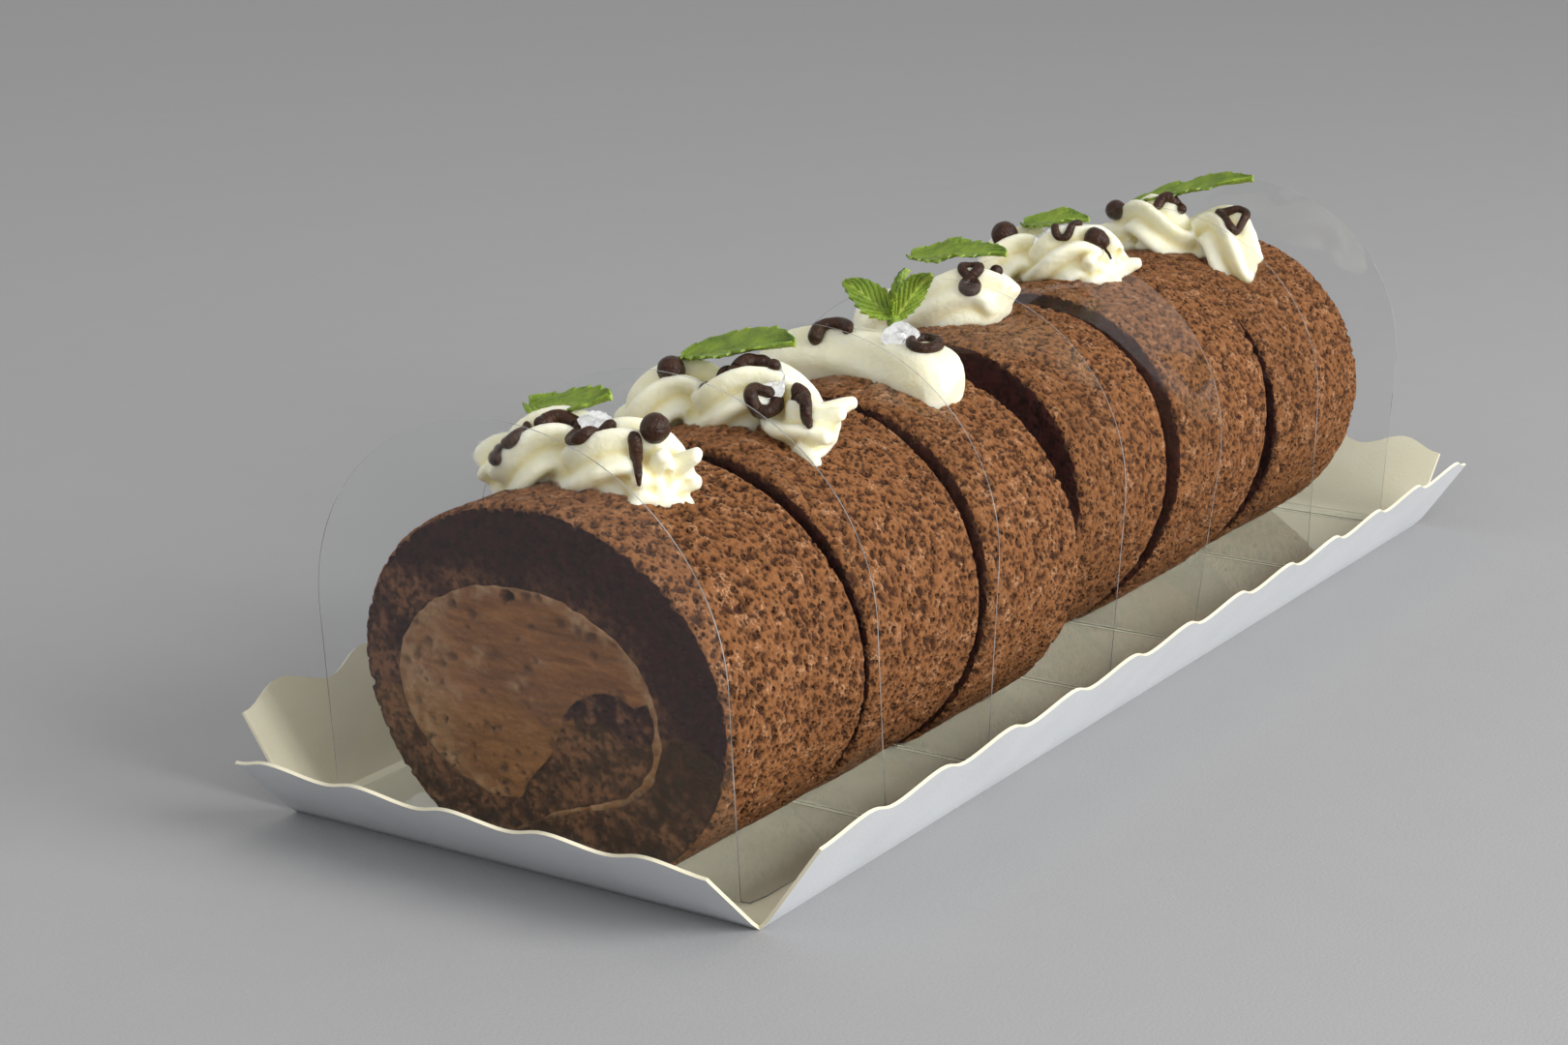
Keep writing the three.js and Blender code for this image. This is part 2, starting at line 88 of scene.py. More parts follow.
def hashed(cells: np.ndarray, seed: int) -> np.ndarray:
    """Random numbers for whole-numbered cells.

    Args:
        cells: Cell numbers, (N, 3).
        seed: Picks one set of numbers out of many.

    Returns:
        One number from 0 to 1 for each cell.
    """
    c = cells.astype(np.int64).astype(np.uint32)
    salt = np.uint32((seed * 40503 + 1) & 0xFFFFFFFF)
    h = c[:, 0] * np.uint32(73856093) ^ c[:, 1] * np.uint32(19349663) ^ c[:, 2] * np.uint32(83492791) ^ salt
    h = (h ^ (h >> np.uint32(15))) * np.uint32(2246822519)
    h = (h ^ (h >> np.uint32(13))) * np.uint32(3266489917)
    return (h ^ (h >> np.uint32(16))) / 4294967296.0


def smooth_noise(points: np.ndarray, scale: float, seed: int) -> np.ndarray:
    """Soft noise from -1 to 1.

    Args:
        points: Places in millimetres, (N, 3).
        scale: Size of the noise's features in millimetres.
        seed: Picks the pattern.

    Returns:
        One value for each point.
    """
    places = points / scale
    base = np.floor(places)
    part = places - base
    part = part * part * (3 - 2 * part)
    total = np.zeros(len(points))
    for corner in np.ndindex(2, 2, 2):
        step = np.array(corner)
        weight = np.prod(np.where(step, part, 1 - part), axis=1)
        total += weight * hashed(base + step, seed)
    return 2 * total - 1


def layered_noise(points: np.ndarray, scale: float, seed: int, layers: int = 3) -> np.ndarray:
    """Noise with finer and fainter layers on top, from about -1 to 1.

    Args:
        points: Places in millimetres, (N, 3).
        scale: Size of the coarsest features.
        seed: Picks the pattern.
        layers: How many layers, each half the size of the one before.

    Returns:
        One value for each point.
    """
    total = sum(0.5**k * smooth_noise(points, scale * 0.5**k, seed + 17 * k) for k in range(layers))
    return total / (2 - 0.5 ** (layers - 1))


def ease(low: float, high: float, values: np.ndarray) -> np.ndarray:
    """A soft step from 0 at low to 1 at high."""
    t = np.clip((values - low) / (high - low), 0, 1)
    return t * t * (3 - 2 * t)


def pits(places: np.ndarray, size: float, seed: int, share: float) -> np.ndarray:
    """Round pits scattered over a flat sheet, at most one to a cell.

    Args:
        places: Places on the sheet in millimetres, (N, 2).
        size: Cell size.
        seed: Picks the pattern.
        share: Share of the cells that hold a pit.

    Returns:
        Depth from 0 to 1 for each place.
    """
    spots = places / size
    base = np.floor(spots)
    depth = np.zeros(len(places))
    for across, along in np.ndindex(3, 3):
        cell = np.column_stack([base + (across - 1, along - 1), np.zeros(len(base))])
        middle = cell[:, :2] + np.column_stack([hashed(cell, seed), hashed(cell, seed + 1)])
        radius = 0.2 + 0.38 * hashed(cell, seed + 2)
        there = hashed(cell, seed + 3) < share
        away = np.linalg.norm(spots - middle, axis=1) / radius
        depth = np.maximum(depth, there * (1 - ease(0.4, 1.0, away)))
    return depth


# ---------------------------------------------------------------------------------------------
# Lines and meshes
# ---------------------------------------------------------------------------------------------


def spline(points: list[tuple[float, ...]], steps: int, closed: bool = False) -> np.ndarray:
    """A smooth line through points (Catmull-Rom), evenly spaced.

    Args:
        points: Points that the line passes.
        steps: Number of points to return.
        closed: Whether the line ends where it starts.

    Returns:
        The line's points, (steps, dimensions).
    """
    p = np.array(points, float)
    ring = np.vstack([p[-1:], p, p[:2]]) if closed else np.vstack([2 * p[0] - p[1], p, 2 * p[-1] - p[-2]])
    t = np.linspace(0, 1, 16, endpoint=False)[:, None]
    parts = []
    for a, b, c, d in zip(ring[:-3], ring[1:-2], ring[2:-1], ring[3:]):
        bend = 2 * a - 5 * b + 4 * c - d
        twist = 3 * b - a - 3 * c + d
        parts.append(0.5 * (2 * b + (c - a) * t + bend * t**2 + twist * t**3))
    dense = np.vstack(parts if closed else [*parts, p[-1:]])
    return evenly(dense, steps, closed)


def evenly(line: np.ndarray, count: int, closed: bool) -> np.ndarray:
    """The same line with count evenly spaced points."""
    whole = np.vstack([line, line[:1]]) if closed else line
    run = np.concatenate([[0], np.cumsum(np.linalg.norm(np.diff(whole, axis=0), axis=1))])
    at = np.linspace(0, run[-1], count, endpoint=not closed)
    return np.column_stack([np.interp(at, run, whole[:, k]) for k in range(whole.shape[1])])


def length_of(line: np.ndarray) -> float:
    """Length of a closed line."""
    return float(np.linalg.norm(np.roll(line, -1, axis=0) - line, axis=1).sum())


def outward(line: np.ndarray, reach: int = 3) -> np.ndarray:
    """Outward directions along a closed counter-clockwise line in a plane."""
    along = np.roll(line, -reach, axis=0) - np.roll(line, reach, axis=0)
    along /= np.linalg.norm(along, axis=1)[:, None]
    return np.column_stack([along[:, 1], -along[:, 0]])


def within(points: np.ndarray, line: np.ndarray) -> np.ndarray:
    """True for each point in a plane that lies inside a closed line."""
    result = np.zeros(len(points), bool)
    for (x0, z0), (x1, z1) in zip(line, np.roll(line, -1, axis=0)):
        crosses = (z0 > points[:, 1]) != (z1 > points[:, 1])
        if z0 != z1:
            result ^= crosses & (points[:, 0] < (x1 - x0) * (points[:, 1] - z0) / (z1 - z0) + x0)
    return result


def nearest(points: np.ndarray, line: np.ndarray) -> np.ndarray:
    """Distance from each point to the nearest of a line's points."""
    best = np.full(len(points), np.inf)
    for spot in line:
        best = np.minimum(best, np.hypot(points[:, 0] - spot[0], points[:, 1] - spot[1]))
    return best


def box_of(node: str) -> tuple[np.ndarray, np.ndarray]:
    """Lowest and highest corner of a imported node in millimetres."""
    low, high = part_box(node)
    return np.array(low) / MM, np.array(high) / MM


def make_mesh(
    name: str,
    points: np.ndarray,
    faces: list[list[int]],
    values: dict[str, np.ndarray] | None = None,
) -> bpy.types.Object:
    """Makes a smooth-shaded mesh object.

    Args:
        name: The piece's name.
        points: Vertices in millimetres, (N, 3).
        faces: Vertex numbers of each face.
        values: Values to keep on the vertices, by name.

    Returns:
        The new object, linked to the scene.
    """
    mesh = bpy.data.meshes.new(name)
    mesh.from_pydata((points * MM).tolist(), [], faces)
    mesh.polygons.foreach_set("use_smooth", np.ones(len(mesh.polygons), bool))
    for key, numbers in (values or {}).items():
        mesh.attributes.new(key, "FLOAT", "POINT").data.foreach_set("value", np.asarray(numbers, np.float32))
    mesh.update()
    piece = bpy.data.objects.new(name, mesh)
    bpy.context.scene.collection.objects.link(piece)
    return piece


def grid_faces(rows: int, columns: int, closed: bool = False, start: int = 0) -> list[list[int]]:
    """Quads of a grid whose points run row by row.

    Args:
        rows: Number of rows of points.
        columns: Number of points in a row.
        closed: Whether each row's last point joins its first.
        start: Number of the grid's first vertex.

    Returns:
        The faces.
    """
    across = columns if closed else columns - 1
    row, column = np.meshgrid(np.arange(rows - 1), np.arange(across), indexing="ij")
    a = row * columns + column
    b = row * columns + (column + 1) % columns
    return (np.stack([a, b, b + columns, a + columns], axis=-1).reshape(-1, 4) + start).tolist()


def applied(piece: bpy.types.Object) -> bpy.types.Object:
    """The piece with its modifiers made part of its mesh."""
    graph = bpy.context.evaluated_depsgraph_get()
    mesh = bpy.data.meshes.new_from_object(piece.evaluated_get(graph))
    old = piece.data
    piece.modifiers.clear()
    piece.data = mesh
    bpy.data.meshes.remove(old)
    return piece


def thicken(
    piece: bpy.types.Object, thickness: float, rim_finish: int = 0, back_finish: int = 0, even: bool = False
) -> None:
    """Turns a sheet into a closed body, half its thickness on each side, with sharp rims.

    Args:
        piece: The sheet.
        thickness: In millimetres.
        rim_finish: How many material slots further the rim's finish is.
        back_finish: How many material slots further the other side's finish is.
        even: Whether folds keep the full thickness.
    """
    shell = piece.modifiers.new("thickness", "SOLIDIFY")
    shell.thickness = thickness * MM
    shell.offset = 0
    shell.use_even_offset = even
    shell.material_offset = back_finish
    shell.material_offset_rim = rim_finish
    applied(piece)
    sharpen(piece, 45)


def sharpen(piece: bpy.types.Object, degrees: float) -> None:
    """Marks the edges where a piece turns by more than an angle as sharp."""
    body = bmesh.new()
    body.from_mesh(piece.data)
    for edge in body.edges:
        if len(edge.link_faces) == 2 and edge.calc_face_angle() > math.radians(degrees):
            edge.smooth = False
    body.to_mesh(piece.data)
    body.free()


def joined(pieces: list[tuple[np.ndarray, list[list[int]]]]) -> tuple[np.ndarray, list[list[int]]]:
    """Several bodies' points and faces as one list of each."""
    points = np.vstack([p for p, _ in pieces])
    faces: list[list[int]] = []
    start = 0
    for body, its_faces in pieces:
        faces += [[i + start for i in face] for face in its_faces]
        start += len(body)
    return points, faces


def sweep(
    path: np.ndarray,
    radius: np.ndarray,
    sides: int,
    lobes: int = 0,
    depth: np.ndarray | float = 0.0,
    twist: np.ndarray | float = 0.0,
) -> tuple[np.ndarray, list[list[int]]]:
    """A closed body of round or star-shaped section along a path.

    Args:
        path: Middle points in millimetres, (N, 3).
        radius: Half width at each point.
        sides: Points round the section.
        lobes: Number of the star's ridges.
        depth: How deep the grooves between them go, as a share of the radius.
        twist: Turn of the section at each point, in radians.

    Returns:
        Its points and faces.
    """
    along = np.gradient(path, axis=0)
    along /= np.linalg.norm(along, axis=1)[:, None]
    side = np.cross(along[0], (0.31, 0.17, 0.93))
    sides_at = []
    for direction in along:
        side = side - direction * side.dot(direction)
        side = side / np.linalg.norm(side)
        sides_at.append(side)
    u = np.array(sides_at)
    v = np.cross(along, u)
    angle = np.linspace(0, 2 * np.pi, sides, endpoint=False)[None, :]
    groove = np.broadcast_to(np.asarray(depth, float).reshape(-1, 1), (len(path), 1))
    reach = radius[:, None] * (1 - groove * (0.5 - 0.5 * np.cos(lobes * angle)))
    turned = angle + np.broadcast_to(np.asarray(twist, float).reshape(-1, 1), (len(path), 1))
    around = np.cos(turned)[..., None] * u[:, None] + np.sin(turned)[..., None] * v[:, None]
    points = (path[:, None] + reach[..., None] * around).reshape(-1, 3)
    ends = np.vstack([path[0] - along[0] * radius[0] * 0.3, path[-1] + along[-1] * radius[-1] * 0.3])
    faces = grid_faces(len(path), sides, closed=True)
    first, last = len(points), len(points) + 1
    for i in range(sides):
        j = (i + 1) % sides
        faces.append([first, j, i])
        faces.append([last, len(points) - sides + i, len(points) - sides + j])
    return np.vstack([points, ends]), faces


def round_ends(count: int, radius: float, blunt: float = 0.35) -> np.ndarray:
    """Half widths along a line with rounded ends."""
    t = np.linspace(-1, 1, count)
    return radius * np.clip(1 - np.abs(t) ** 8, blunt**2, 1) ** 0.5


def place(piece: bpy.types.Object, slot: Slot, *nodes: str) -> None:
    """Says what a piece rides on and stands for, and reports it."""
    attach(piece, "root")
    if nodes:
        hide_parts(*nodes)
    log.info("%s: %d faces", piece.name, len(piece.data.polygons))


# ---------------------------------------------------------------------------------------------
# Finishes
# ---------------------------------------------------------------------------------------------


class NodeTree:
    """A short way to add nodes to a tree and link them."""

    def __init__(self, tree: bpy.types.NodeTree) -> None:
        """Keeps the tree."""
        self.tree = tree

    def add(self, kind: str, inputs: dict | None = None, **settings: object) -> bpy.types.Node:
        """Adds a node.

        Args:
            kind: The node's type name, without its ShaderNode beginning.
            inputs: Values or sockets for its inputs, by name or number.
            settings: Properties of the node.

        Returns:
            The node.
        """
        node = self.tree.nodes.new(kind if kind.startswith("Node") else f"ShaderNode{kind}")
        for key, value in settings.items():
            setattr(node, key, value)
        self.fill(node, inputs or {})
        return node

    def fill(self, node: bpy.types.Node, inputs: dict) -> None:
        """Sets a node's inputs, by name or number: a socket is linked, any other value is set."""
        for key, value in inputs.items():
            if isinstance(value, bpy.types.NodeSocket):
                self.tree.links.new(value, node.inputs[key])
            else:
                node.inputs[key].default_value = value

    def use(self, group: bpy.types.NodeTree, inputs: dict) -> bpy.types.Node:
        """Adds a shared group with values for its sockets."""
        node = self.tree.nodes.new("ShaderNodeGroup")
        node.node_tree = group
        self.fill(node, inputs)
        return node

    def ramp(
        self, value: bpy.types.NodeSocket, low: float, high: float, out: tuple[float, float] = (0, 1)
    ) -> bpy.types.NodeSocket:
        """A value mapped from low..high to out, and kept there."""
        inputs = {"Value": value, 1: low, 2: high, 3: out[0], 4: out[1]}
        return self.add("MapRange", inputs).outputs["Result"]

    def mix(self, share: object, a: object, b: object) -> bpy.types.NodeSocket:
        """A mix of two colours."""
        return self.add("Mix", {"Factor": share, 6: a, 7: b}, data_type="RGBA").outputs[2]

    def multiply(self, a: object, b: object) -> bpy.types.NodeSocket:
        """Two colours multiplied."""
        inputs = {"Factor": 1.0, 6: a, 7: b}
        return self.add("Mix", inputs, data_type="RGBA", blend_type="MULTIPLY").outputs[2]

    def math(self, operation: str, *values: object) -> bpy.types.NodeSocket:
        """The result of a sum on values or sockets."""
        return self.add("Math", dict(enumerate(values)), operation=operation).outputs[0]

    def attribute(self, name: str) -> bpy.types.NodeSocket:
        """A value that the mesh keeps on its points."""
        return self.add("Attribute", attribute_name=name).outputs["Fac"]


def new_group(name: str, inputs: dict[str, tuple[str, object]], outputs: dict[str, str]) -> tuple:
    """Starts a shader node group with named sockets.

    Args:
        name: The group's name.
        inputs: Socket kind (Color, Float or Vector) and default for each input.
        outputs: Socket kind for each output.

    Returns:
        The group, its helper, its input node and its output node.
    """
    group = bpy.data.node_groups.new(name, "ShaderNodeTree")
    for key, (kind, default) in inputs.items():
        socket = group.interface.new_socket(name=key, in_out="INPUT", socket_type=f"NodeSocket{kind}")
        if default is not None:
            socket.default_value = default
    for key, kind in outputs.items():
        group.interface.new_socket(name=key, in_out="OUTPUT", socket_type=f"NodeSocket{kind}")
    nodes = NodeTree(group)
    return group, nodes, nodes.add("NodeGroupInput"), nodes.add("NodeGroupOutput")


def tone_group() -> bpy.types.NodeTree:
    """Shared effect: a colour that wanders between two tones, in soft patches with finer ones on top."""
    group, nodes, inside, out = new_group(
        "Wandering tone",
        {
            "Dark": ("Color", (0, 0, 0, 1)),
            "Light": ("Color", (1, 1, 1, 1)),
            "Scale": ("Float", 100.0),
            "Contrast": ("Float", 1.0),
        },
        {"Color": "Color", "Mask": "Float"},
    )
    where = nodes.add("TexCoord").outputs["Object"]
    noise = nodes.add("TexNoise", {"Vector": where, "Scale": inside.outputs["Scale"], "Detail": 4.0})
    centred = nodes.math("SUBTRACT", noise.outputs["Fac"], 0.5)
    spread = nodes.math("MULTIPLY_ADD", centred, inside.outputs["Contrast"], 0.5)
    mask = nodes.ramp(spread, 0, 1)
    colour = nodes.mix(mask, inside.outputs["Dark"], inside.outputs["Light"])
    nodes.fill(out, {"Color": colour, "Mask": mask})
    return group


def grain_group() -> bpy.types.NodeTree:
    """Shared effect: fine relief made of noise and, where asked, small round holes."""
    group, nodes, inside, out = new_group(
        "Fine relief",
        {
            "Scale": ("Float", 800.0),
            "Hole scale": ("Float", 900.0),
            "Holes": ("Float", 0.0),
        },
        {"Height": "Float", "Holes": "Float"},
    )
    where = nodes.add("TexCoord").outputs["Object"]
    noise = nodes.add("TexNoise", {"Vector": where, "Scale": inside.outputs["Scale"], "Detail": 5.0})
    cells = nodes.add("TexVoronoi", {"Vector": where, "Scale": inside.outputs["Hole scale"]})
    hole = nodes.ramp(cells.outputs["Distance"], 0.18, 0.42, (1, 0))
    amount = nodes.math("MULTIPLY", hole, inside.outputs["Holes"])
    height = nodes.math("SUBTRACT", noise.outputs["Fac"], amount)
    nodes.fill(out, {"Height": height, "Holes": amount})
    return group


@dataclass(frozen=True)
class Finish:
    """A finish: a material made of the shared effects and a Principled shader of its own."""

    name: str
    groups: dict[str, bpy.types.NodeTree]

    def start(self) -> tuple[bpy.types.Material, NodeTree, bpy.types.Node]:
        """Starts the material.

        Returns:
            The material, its tree's helper and its Principled shader.
        """
        material = bpy.data.materials.new(self.name)
        material.use_nodes = True
        material.node_tree.nodes.clear()
        nodes = NodeTree(material.node_tree)
        shader = nodes.add("BsdfPrincipled")
        out = nodes.add("OutputMaterial")
        nodes.tree.links.new(shader.outputs[0], out.inputs["Surface"])
        return material, nodes, shader

    def tone(
        self, nodes: NodeTree, dark: tuple, light: tuple, scale: float, contrast: float
    ) -> bpy.types.Node:
        """The shared wandering tone with this finish's values."""
        values = {"Dark": (*dark, 1), "Light": (*light, 1), "Scale": scale, "Contrast": contrast}
        return nodes.use(self.groups["tone"], values)

    def spots(self, nodes: NodeTree, scale: float, contrast: float) -> bpy.types.NodeSocket:
        """The wandering tone's mask alone, from 0 to 1."""
        return self.tone(nodes, (0, 0, 0), (1, 1, 1), scale, contrast).outputs["Mask"]

    def relief(
        self, nodes: NodeTree, scale: float, distance: float, holes: float = 0, hole_scale: float = 900
    ) -> tuple[bpy.types.Node, bpy.types.NodeSocket]:
        """The shared fine relief as a bump.

        Args:
            nodes: The material's helper.
            scale: The grain's scale.
            distance: How deep it is, in metres.
            holes: How much the small holes cut in.
            hole_scale: The holes' scale.

        Returns:
            The group's node and the bump's normal.
        """
        grain = nodes.use(self.groups["grain"], {"Scale": scale, "Holes": holes, "Hole scale": hole_scale})
        bump = nodes.add("Bump", {"Height": grain.outputs["Height"], "Strength": 1.0, "Distance": distance})
        return grain, bump.outputs["Normal"]


@dataclass(frozen=True)
class SkinFinish(Finish):
    """The sponge's outer skin: reddish brown, darkened in its pores as painted shade, with paler crumb specks
    on its ridges, partly real crumbs and partly a painted highlight on the raised lumps.
    """

    dark: tuple = (0.155, 0.058, 0.016)
    light: tuple = (0.3, 0.124, 0.042)
    # The pore colour is painted shade: it darkens the pores and the fine holes.
    pore: tuple = (0.024, 0.006, 0.002)
    # The crumb colour is for pale specks on the ridges: real crumbs, and a painted highlight on the raised
    # lumps.
    crumb: tuple = (0.6, 0.35, 0.2)

    def build(self) -> bpy.types.Material:
        """Builds the material."""
        material, nodes, shader = self.start()
        base = self.tone(nodes, self.dark, self.light, 1100.0, 2.2).outputs["Color"]
        patches = self.tone(nodes, (0.86, 0.82, 0.78), (1.1, 1.1, 1.1), 60.0, 1.6).outputs["Color"]
        toned = nodes.multiply(base, patches)
        # Pale specks only on the raised lumps: crumbs, and a painted highlight where light falls on the
        # ridges.
        crumb_specks_and_highlight = nodes.math("MULTIPLY", self.spots(nodes, 2300.0, 6.0), nodes.attribute("ridge"))
        specked_and_highlit = nodes.mix(nodes.ramp(crumb_specks_and_highlight, 0.25, 1.0, (0, 0.6)), toned, (*self.crumb, 1))
        grain, normal = self.relief(nodes, 1700.0, 0.0006, 0.8, 900.0)
        # Pores and fine holes are darkened as painted shade.
        deep = nodes.math("MAXIMUM", grain.outputs["Holes"], nodes.attribute("pore"))
        colour = nodes.mix(nodes.ramp(deep, 0.1, 0.9, (0, 0.88)), specked_and_highlit, (*self.pore, 1))
        nodes.fill(shader, {"Base Color": colour, "Normal": normal})
        nodes.fill(shader, {"Roughness": 0.82, "Specular IOR Level": 0.3})
        return material


@dataclass(frozen=True)
class CrumbFinish(Finish):
    """The sponge at a cut: dark aubergine brown crumb, smeared here and there by the filling, with painted
    shade in its holes.
    """

    dark: tuple = (0.014, 0.003, 0.002)
    light: tuple = (0.05, 0.01, 0.007)
    smear: tuple = (0.2, 0.085, 0.04)
    # The hole colour is painted shade: it darkens the crumb's holes and pores.
    hole: tuple = (0.012, 0.004, 0.003)

    def build(self) -> bpy.types.Material:
        """Builds the material."""
        material, nodes, shader = self.start()
        base = self.tone(nodes, self.dark, self.light, 520.0, 2.2).outputs["Color"]
        breaks = nodes.ramp(self.spots(nodes, 700.0, 4.0), 0.0, 1.0, (0.2, 1.5))
        share = nodes.math("MULTIPLY", nodes.attribute("smear"), breaks)
        smeared = nodes.mix(nodes.ramp(share, 0.05, 0.95), base, (*self.smear, 1))
        grain, normal = self.relief(nodes, 900.0, 0.0003, 0.4, 700.0)
        # The crumb's holes and pores are darkened as painted shade.
        deep = nodes.math("MAXIMUM", grain.outputs["Holes"], nodes.attribute("pore"))
        colour = nodes.mix(nodes.ramp(deep, 0, 0.8, (0, 0.7)), smeared, (*self.hole, 1))
        nodes.fill(shader, {"Base Color": colour, "Normal": normal})
        nodes.fill(shader, {"Roughness": 0.85, "Specular IOR Level": 0.25})
        return material


@dataclass(frozen=True)
class FillingFinish(Finish):
    """Light milk-chocolate cream, drawn out in streaks by the knife, with dark crumbs in it and painted shade
    in its pits and hollow.
    """

    dark: tuple = (0.165, 0.062, 0.019)
    light: tuple = (0.34, 0.145, 0.048)
    pale: tuple = (0.4, 0.24, 0.13)
    # One dark colour for both the real dark crumb specks and the painted shade in the pits and the hollow.
    speck_and_pit_shade: tuple = (0.045, 0.014, 0.005)
    stretch: tuple = (130, 130, 900)

    def build(self) -> bpy.types.Material:
        """Builds the material."""
        material, nodes, shader = self.start()
        where = nodes.add("TexCoord").outputs["Object"]
        mapping = {"Vector": where, "Rotation": (0, math.radians(STREAK_ANGLE), 0), "Scale": self.stretch}
        turned = nodes.add("Mapping", mapping).outputs[0]
        streak = nodes.add("TexNoise", {"Vector": turned, "Scale": 1.0, "Detail": 5.0, "Distortion": 0.4})
        base = nodes.mix(nodes.ramp(streak.outputs["Fac"], 0.3, 0.72), (*self.dark, 1), (*self.light, 1))
        patches = self.tone(nodes, (0.78, 0.76, 0.74), (1.14, 1.14, 1.16), 110.0, 2.4).outputs["Color"]
        toned = nodes.multiply(base, patches)
        breaks = self.spots(nodes, 500.0, 4.0)
        share = nodes.math("MULTIPLY", nodes.attribute("smear"), nodes.ramp(breaks, 0.0, 1.0, (0.3, 1.3)))
        paled = nodes.mix(nodes.ramp(share, 0.0, 1.0, (0, 0.85)), toned, (*self.pale, 1))
        normal = self.relief(nodes, 900.0, 0.0003, 0.25, 600.0)[1]
        # Dark crumb specks, and painted shade in the pits and the hollow.
        dotted = nodes.math("MULTIPLY_ADD", breaks, 0.5, 0.6)
        specks_and_pit_shade = nodes.math("MULTIPLY", nodes.attribute("pore"), dotted)
        colour = nodes.mix(nodes.ramp(specks_and_pit_shade, 0.05, 0.75, (0, 0.9)), paled, (*self.speck_and_pit_shade, 1))
        nodes.fill(shader, {"Base Color": colour, "Normal": normal})
        nodes.fill(shader, {"Roughness": 0.62, "Specular IOR Level": 0.35})
        return material


@dataclass(frozen=True)
class CreamFinish(Finish):
    """Soft ivory whipped cream that lets a little light in, painted yellower and darker in its creases as
    shade.
    """

    dark: tuple = (0.91, 0.87, 0.62)
    light: tuple = (0.95, 0.93, 0.76)
    # The creases' deeper yellow is painted shade.
    crease_shade: tuple = (0.86, 0.78, 0.42)

    def build(self) -> bpy.types.Material:
        """Builds the material."""
        material, nodes, shader = self.start()
        base = self.tone(nodes, self.dark, self.light, 160.0, 1.6).outputs["Color"]
        # Painted shade in the creases, by how hollow the surface lies.
        fold = nodes.ramp(nodes.attribute("fold"), 0.0, 1.0, (0, 0.75))
        values = {
            "Base Color": nodes.mix(fold, base, (*self.crease_shade, 1)),
            "Normal": self.relief(nodes, 700.0, 0.00022, 0.12, 1100.0)[1],
            "Roughness": 0.42,
            "Specular IOR Level": 0.4,
            "Subsurface Weight": 0.7,
            "Subsurface Radius": (1.0, 0.9, 0.6),
            "Subsurface Scale": 0.0035,
        }
        nodes.fill(shader, values)
        return material


@dataclass(frozen=True)
class ChocolateFinish(Finish):
    """Dark chocolate, set with a soft gloss and a slightly uneven surface."""

    dark: tuple = (0.016, 0.005, 0.002)
    light: tuple = (0.052, 0.018, 0.007)

    def build(self) -> bpy.types.Material:
        """Builds the material."""
        material, nodes, shader = self.start()
        tone = self.tone(nodes, self.dark, self.light, 500.0, 2.0)
        values = {
            "Base Color": tone.outputs["Color"],
            "Normal": self.relief(nodes, 1600.0, 0.0004)[1],
            "Roughness": nodes.ramp(tone.outputs["Mask"], 0, 1, (0.26, 0.42)),
            "Specular IOR Level": 0.3,
        }
        nodes.fill(shader, values)
        return material


@dataclass(frozen=True)
class MintFinish(Finish):
    """A fresh mint leaf: bright green, paler along its veins and darker in the hollows between."""

    dark: tuple = (0.085, 0.16, 0.009)
    light: tuple = (0.27, 0.39, 0.028)
    vein: tuple = (0.42, 0.53, 0.09)

    def build(self) -> bpy.types.Material:
        """Builds the material."""
        material, nodes, shader = self.start()
        base = self.tone(nodes, self.dark, self.light, 260.0, 2.2).outputs["Color"]
        vein = nodes.add("Attribute", attribute_name="vein").outputs["Fac"]
        colour = nodes.mix(nodes.ramp(vein, 0.1, 1.0, (0, 0.75)), base, (*self.vein, 1))
        normal = self.relief(nodes, 1500.0, 0.0002, 0.3, 1600.0)[1]
        nodes.tree.links.new(colour, shader.inputs["Base Color"])
        nodes.tree.links.new(normal, shader.inputs["Normal"])
        shader.inputs["Roughness"].default_value = 0.48
        shader.inputs["Subsurface Weight"].default_value = 0.15
        shader.inputs["Subsurface Radius"].default_value = (0.3, 1.0, 0.1)
        shader.inputs["Subsurface Scale"].default_value = 0.001
        return material


@dataclass(frozen=True)
class SilverFinish(Finish):
    """Crumpled edible silver leaf."""

    def build(self) -> bpy.types.Material:
        """Builds the material."""
        material, nodes, shader = self.start()
        tone = self.tone(nodes, (0.82, 0.84, 0.85), (0.97, 0.98, 0.98), 600.0, 2.0)
        values = {
            "Base Color": tone.outputs["Color"],
            "Normal": self.relief(nodes, 1400.0, 0.0002)[1],
            "Roughness": nodes.ramp(tone.outputs["Mask"], 0, 1, (0.32, 0.5)),
            "Metallic": 1.0,
        }
        nodes.fill(shader, values)
        return material


@dataclass(frozen=True)
class FilmFinish(Finish):
    """Clear film: glass-like, with faint rubs and dust, letting the lamps' light through."""

    dark: tuple = (0.95, 0.96, 0.965)
    light: tuple = (0.985, 0.99, 0.99)

    def build(self) -> bpy.types.Material:
        """Builds the material."""
        material, nodes, shader = self.start()
        mark = nodes.math("MULTIPLY", self.spots(nodes, 900.0, 7.0), self.spots(nodes, 24.0, 3.0))
        values = {
            "Base Color": self.tone(nodes, self.dark, self.light, 30.0, 1.0).outputs["Color"],
            "Normal": self.relief(nodes, 60.0, 0.00006)[1],
            "Roughness": nodes.ramp(mark, 0.2, 1.0, (0.015, 0.14)),
            "Transmission Weight": 1.0,
            "IOR": 1.33,
        }
        nodes.fill(shader, values)
        clear = nodes.add("BsdfTransparent", {"Color": (*self.dark, 1)}).outputs[0]
        shadow = nodes.add("LightPath").outputs["Is Shadow Ray"]
        both = nodes.add("MixShader", {0: shadow, 1: shader.outputs[0], 2: clear})
        out = next(n for n in nodes.tree.nodes if n.type == "OUTPUT_MATERIAL")
        nodes.tree.links.new(both.outputs[0], out.inputs["Surface"])
        return material


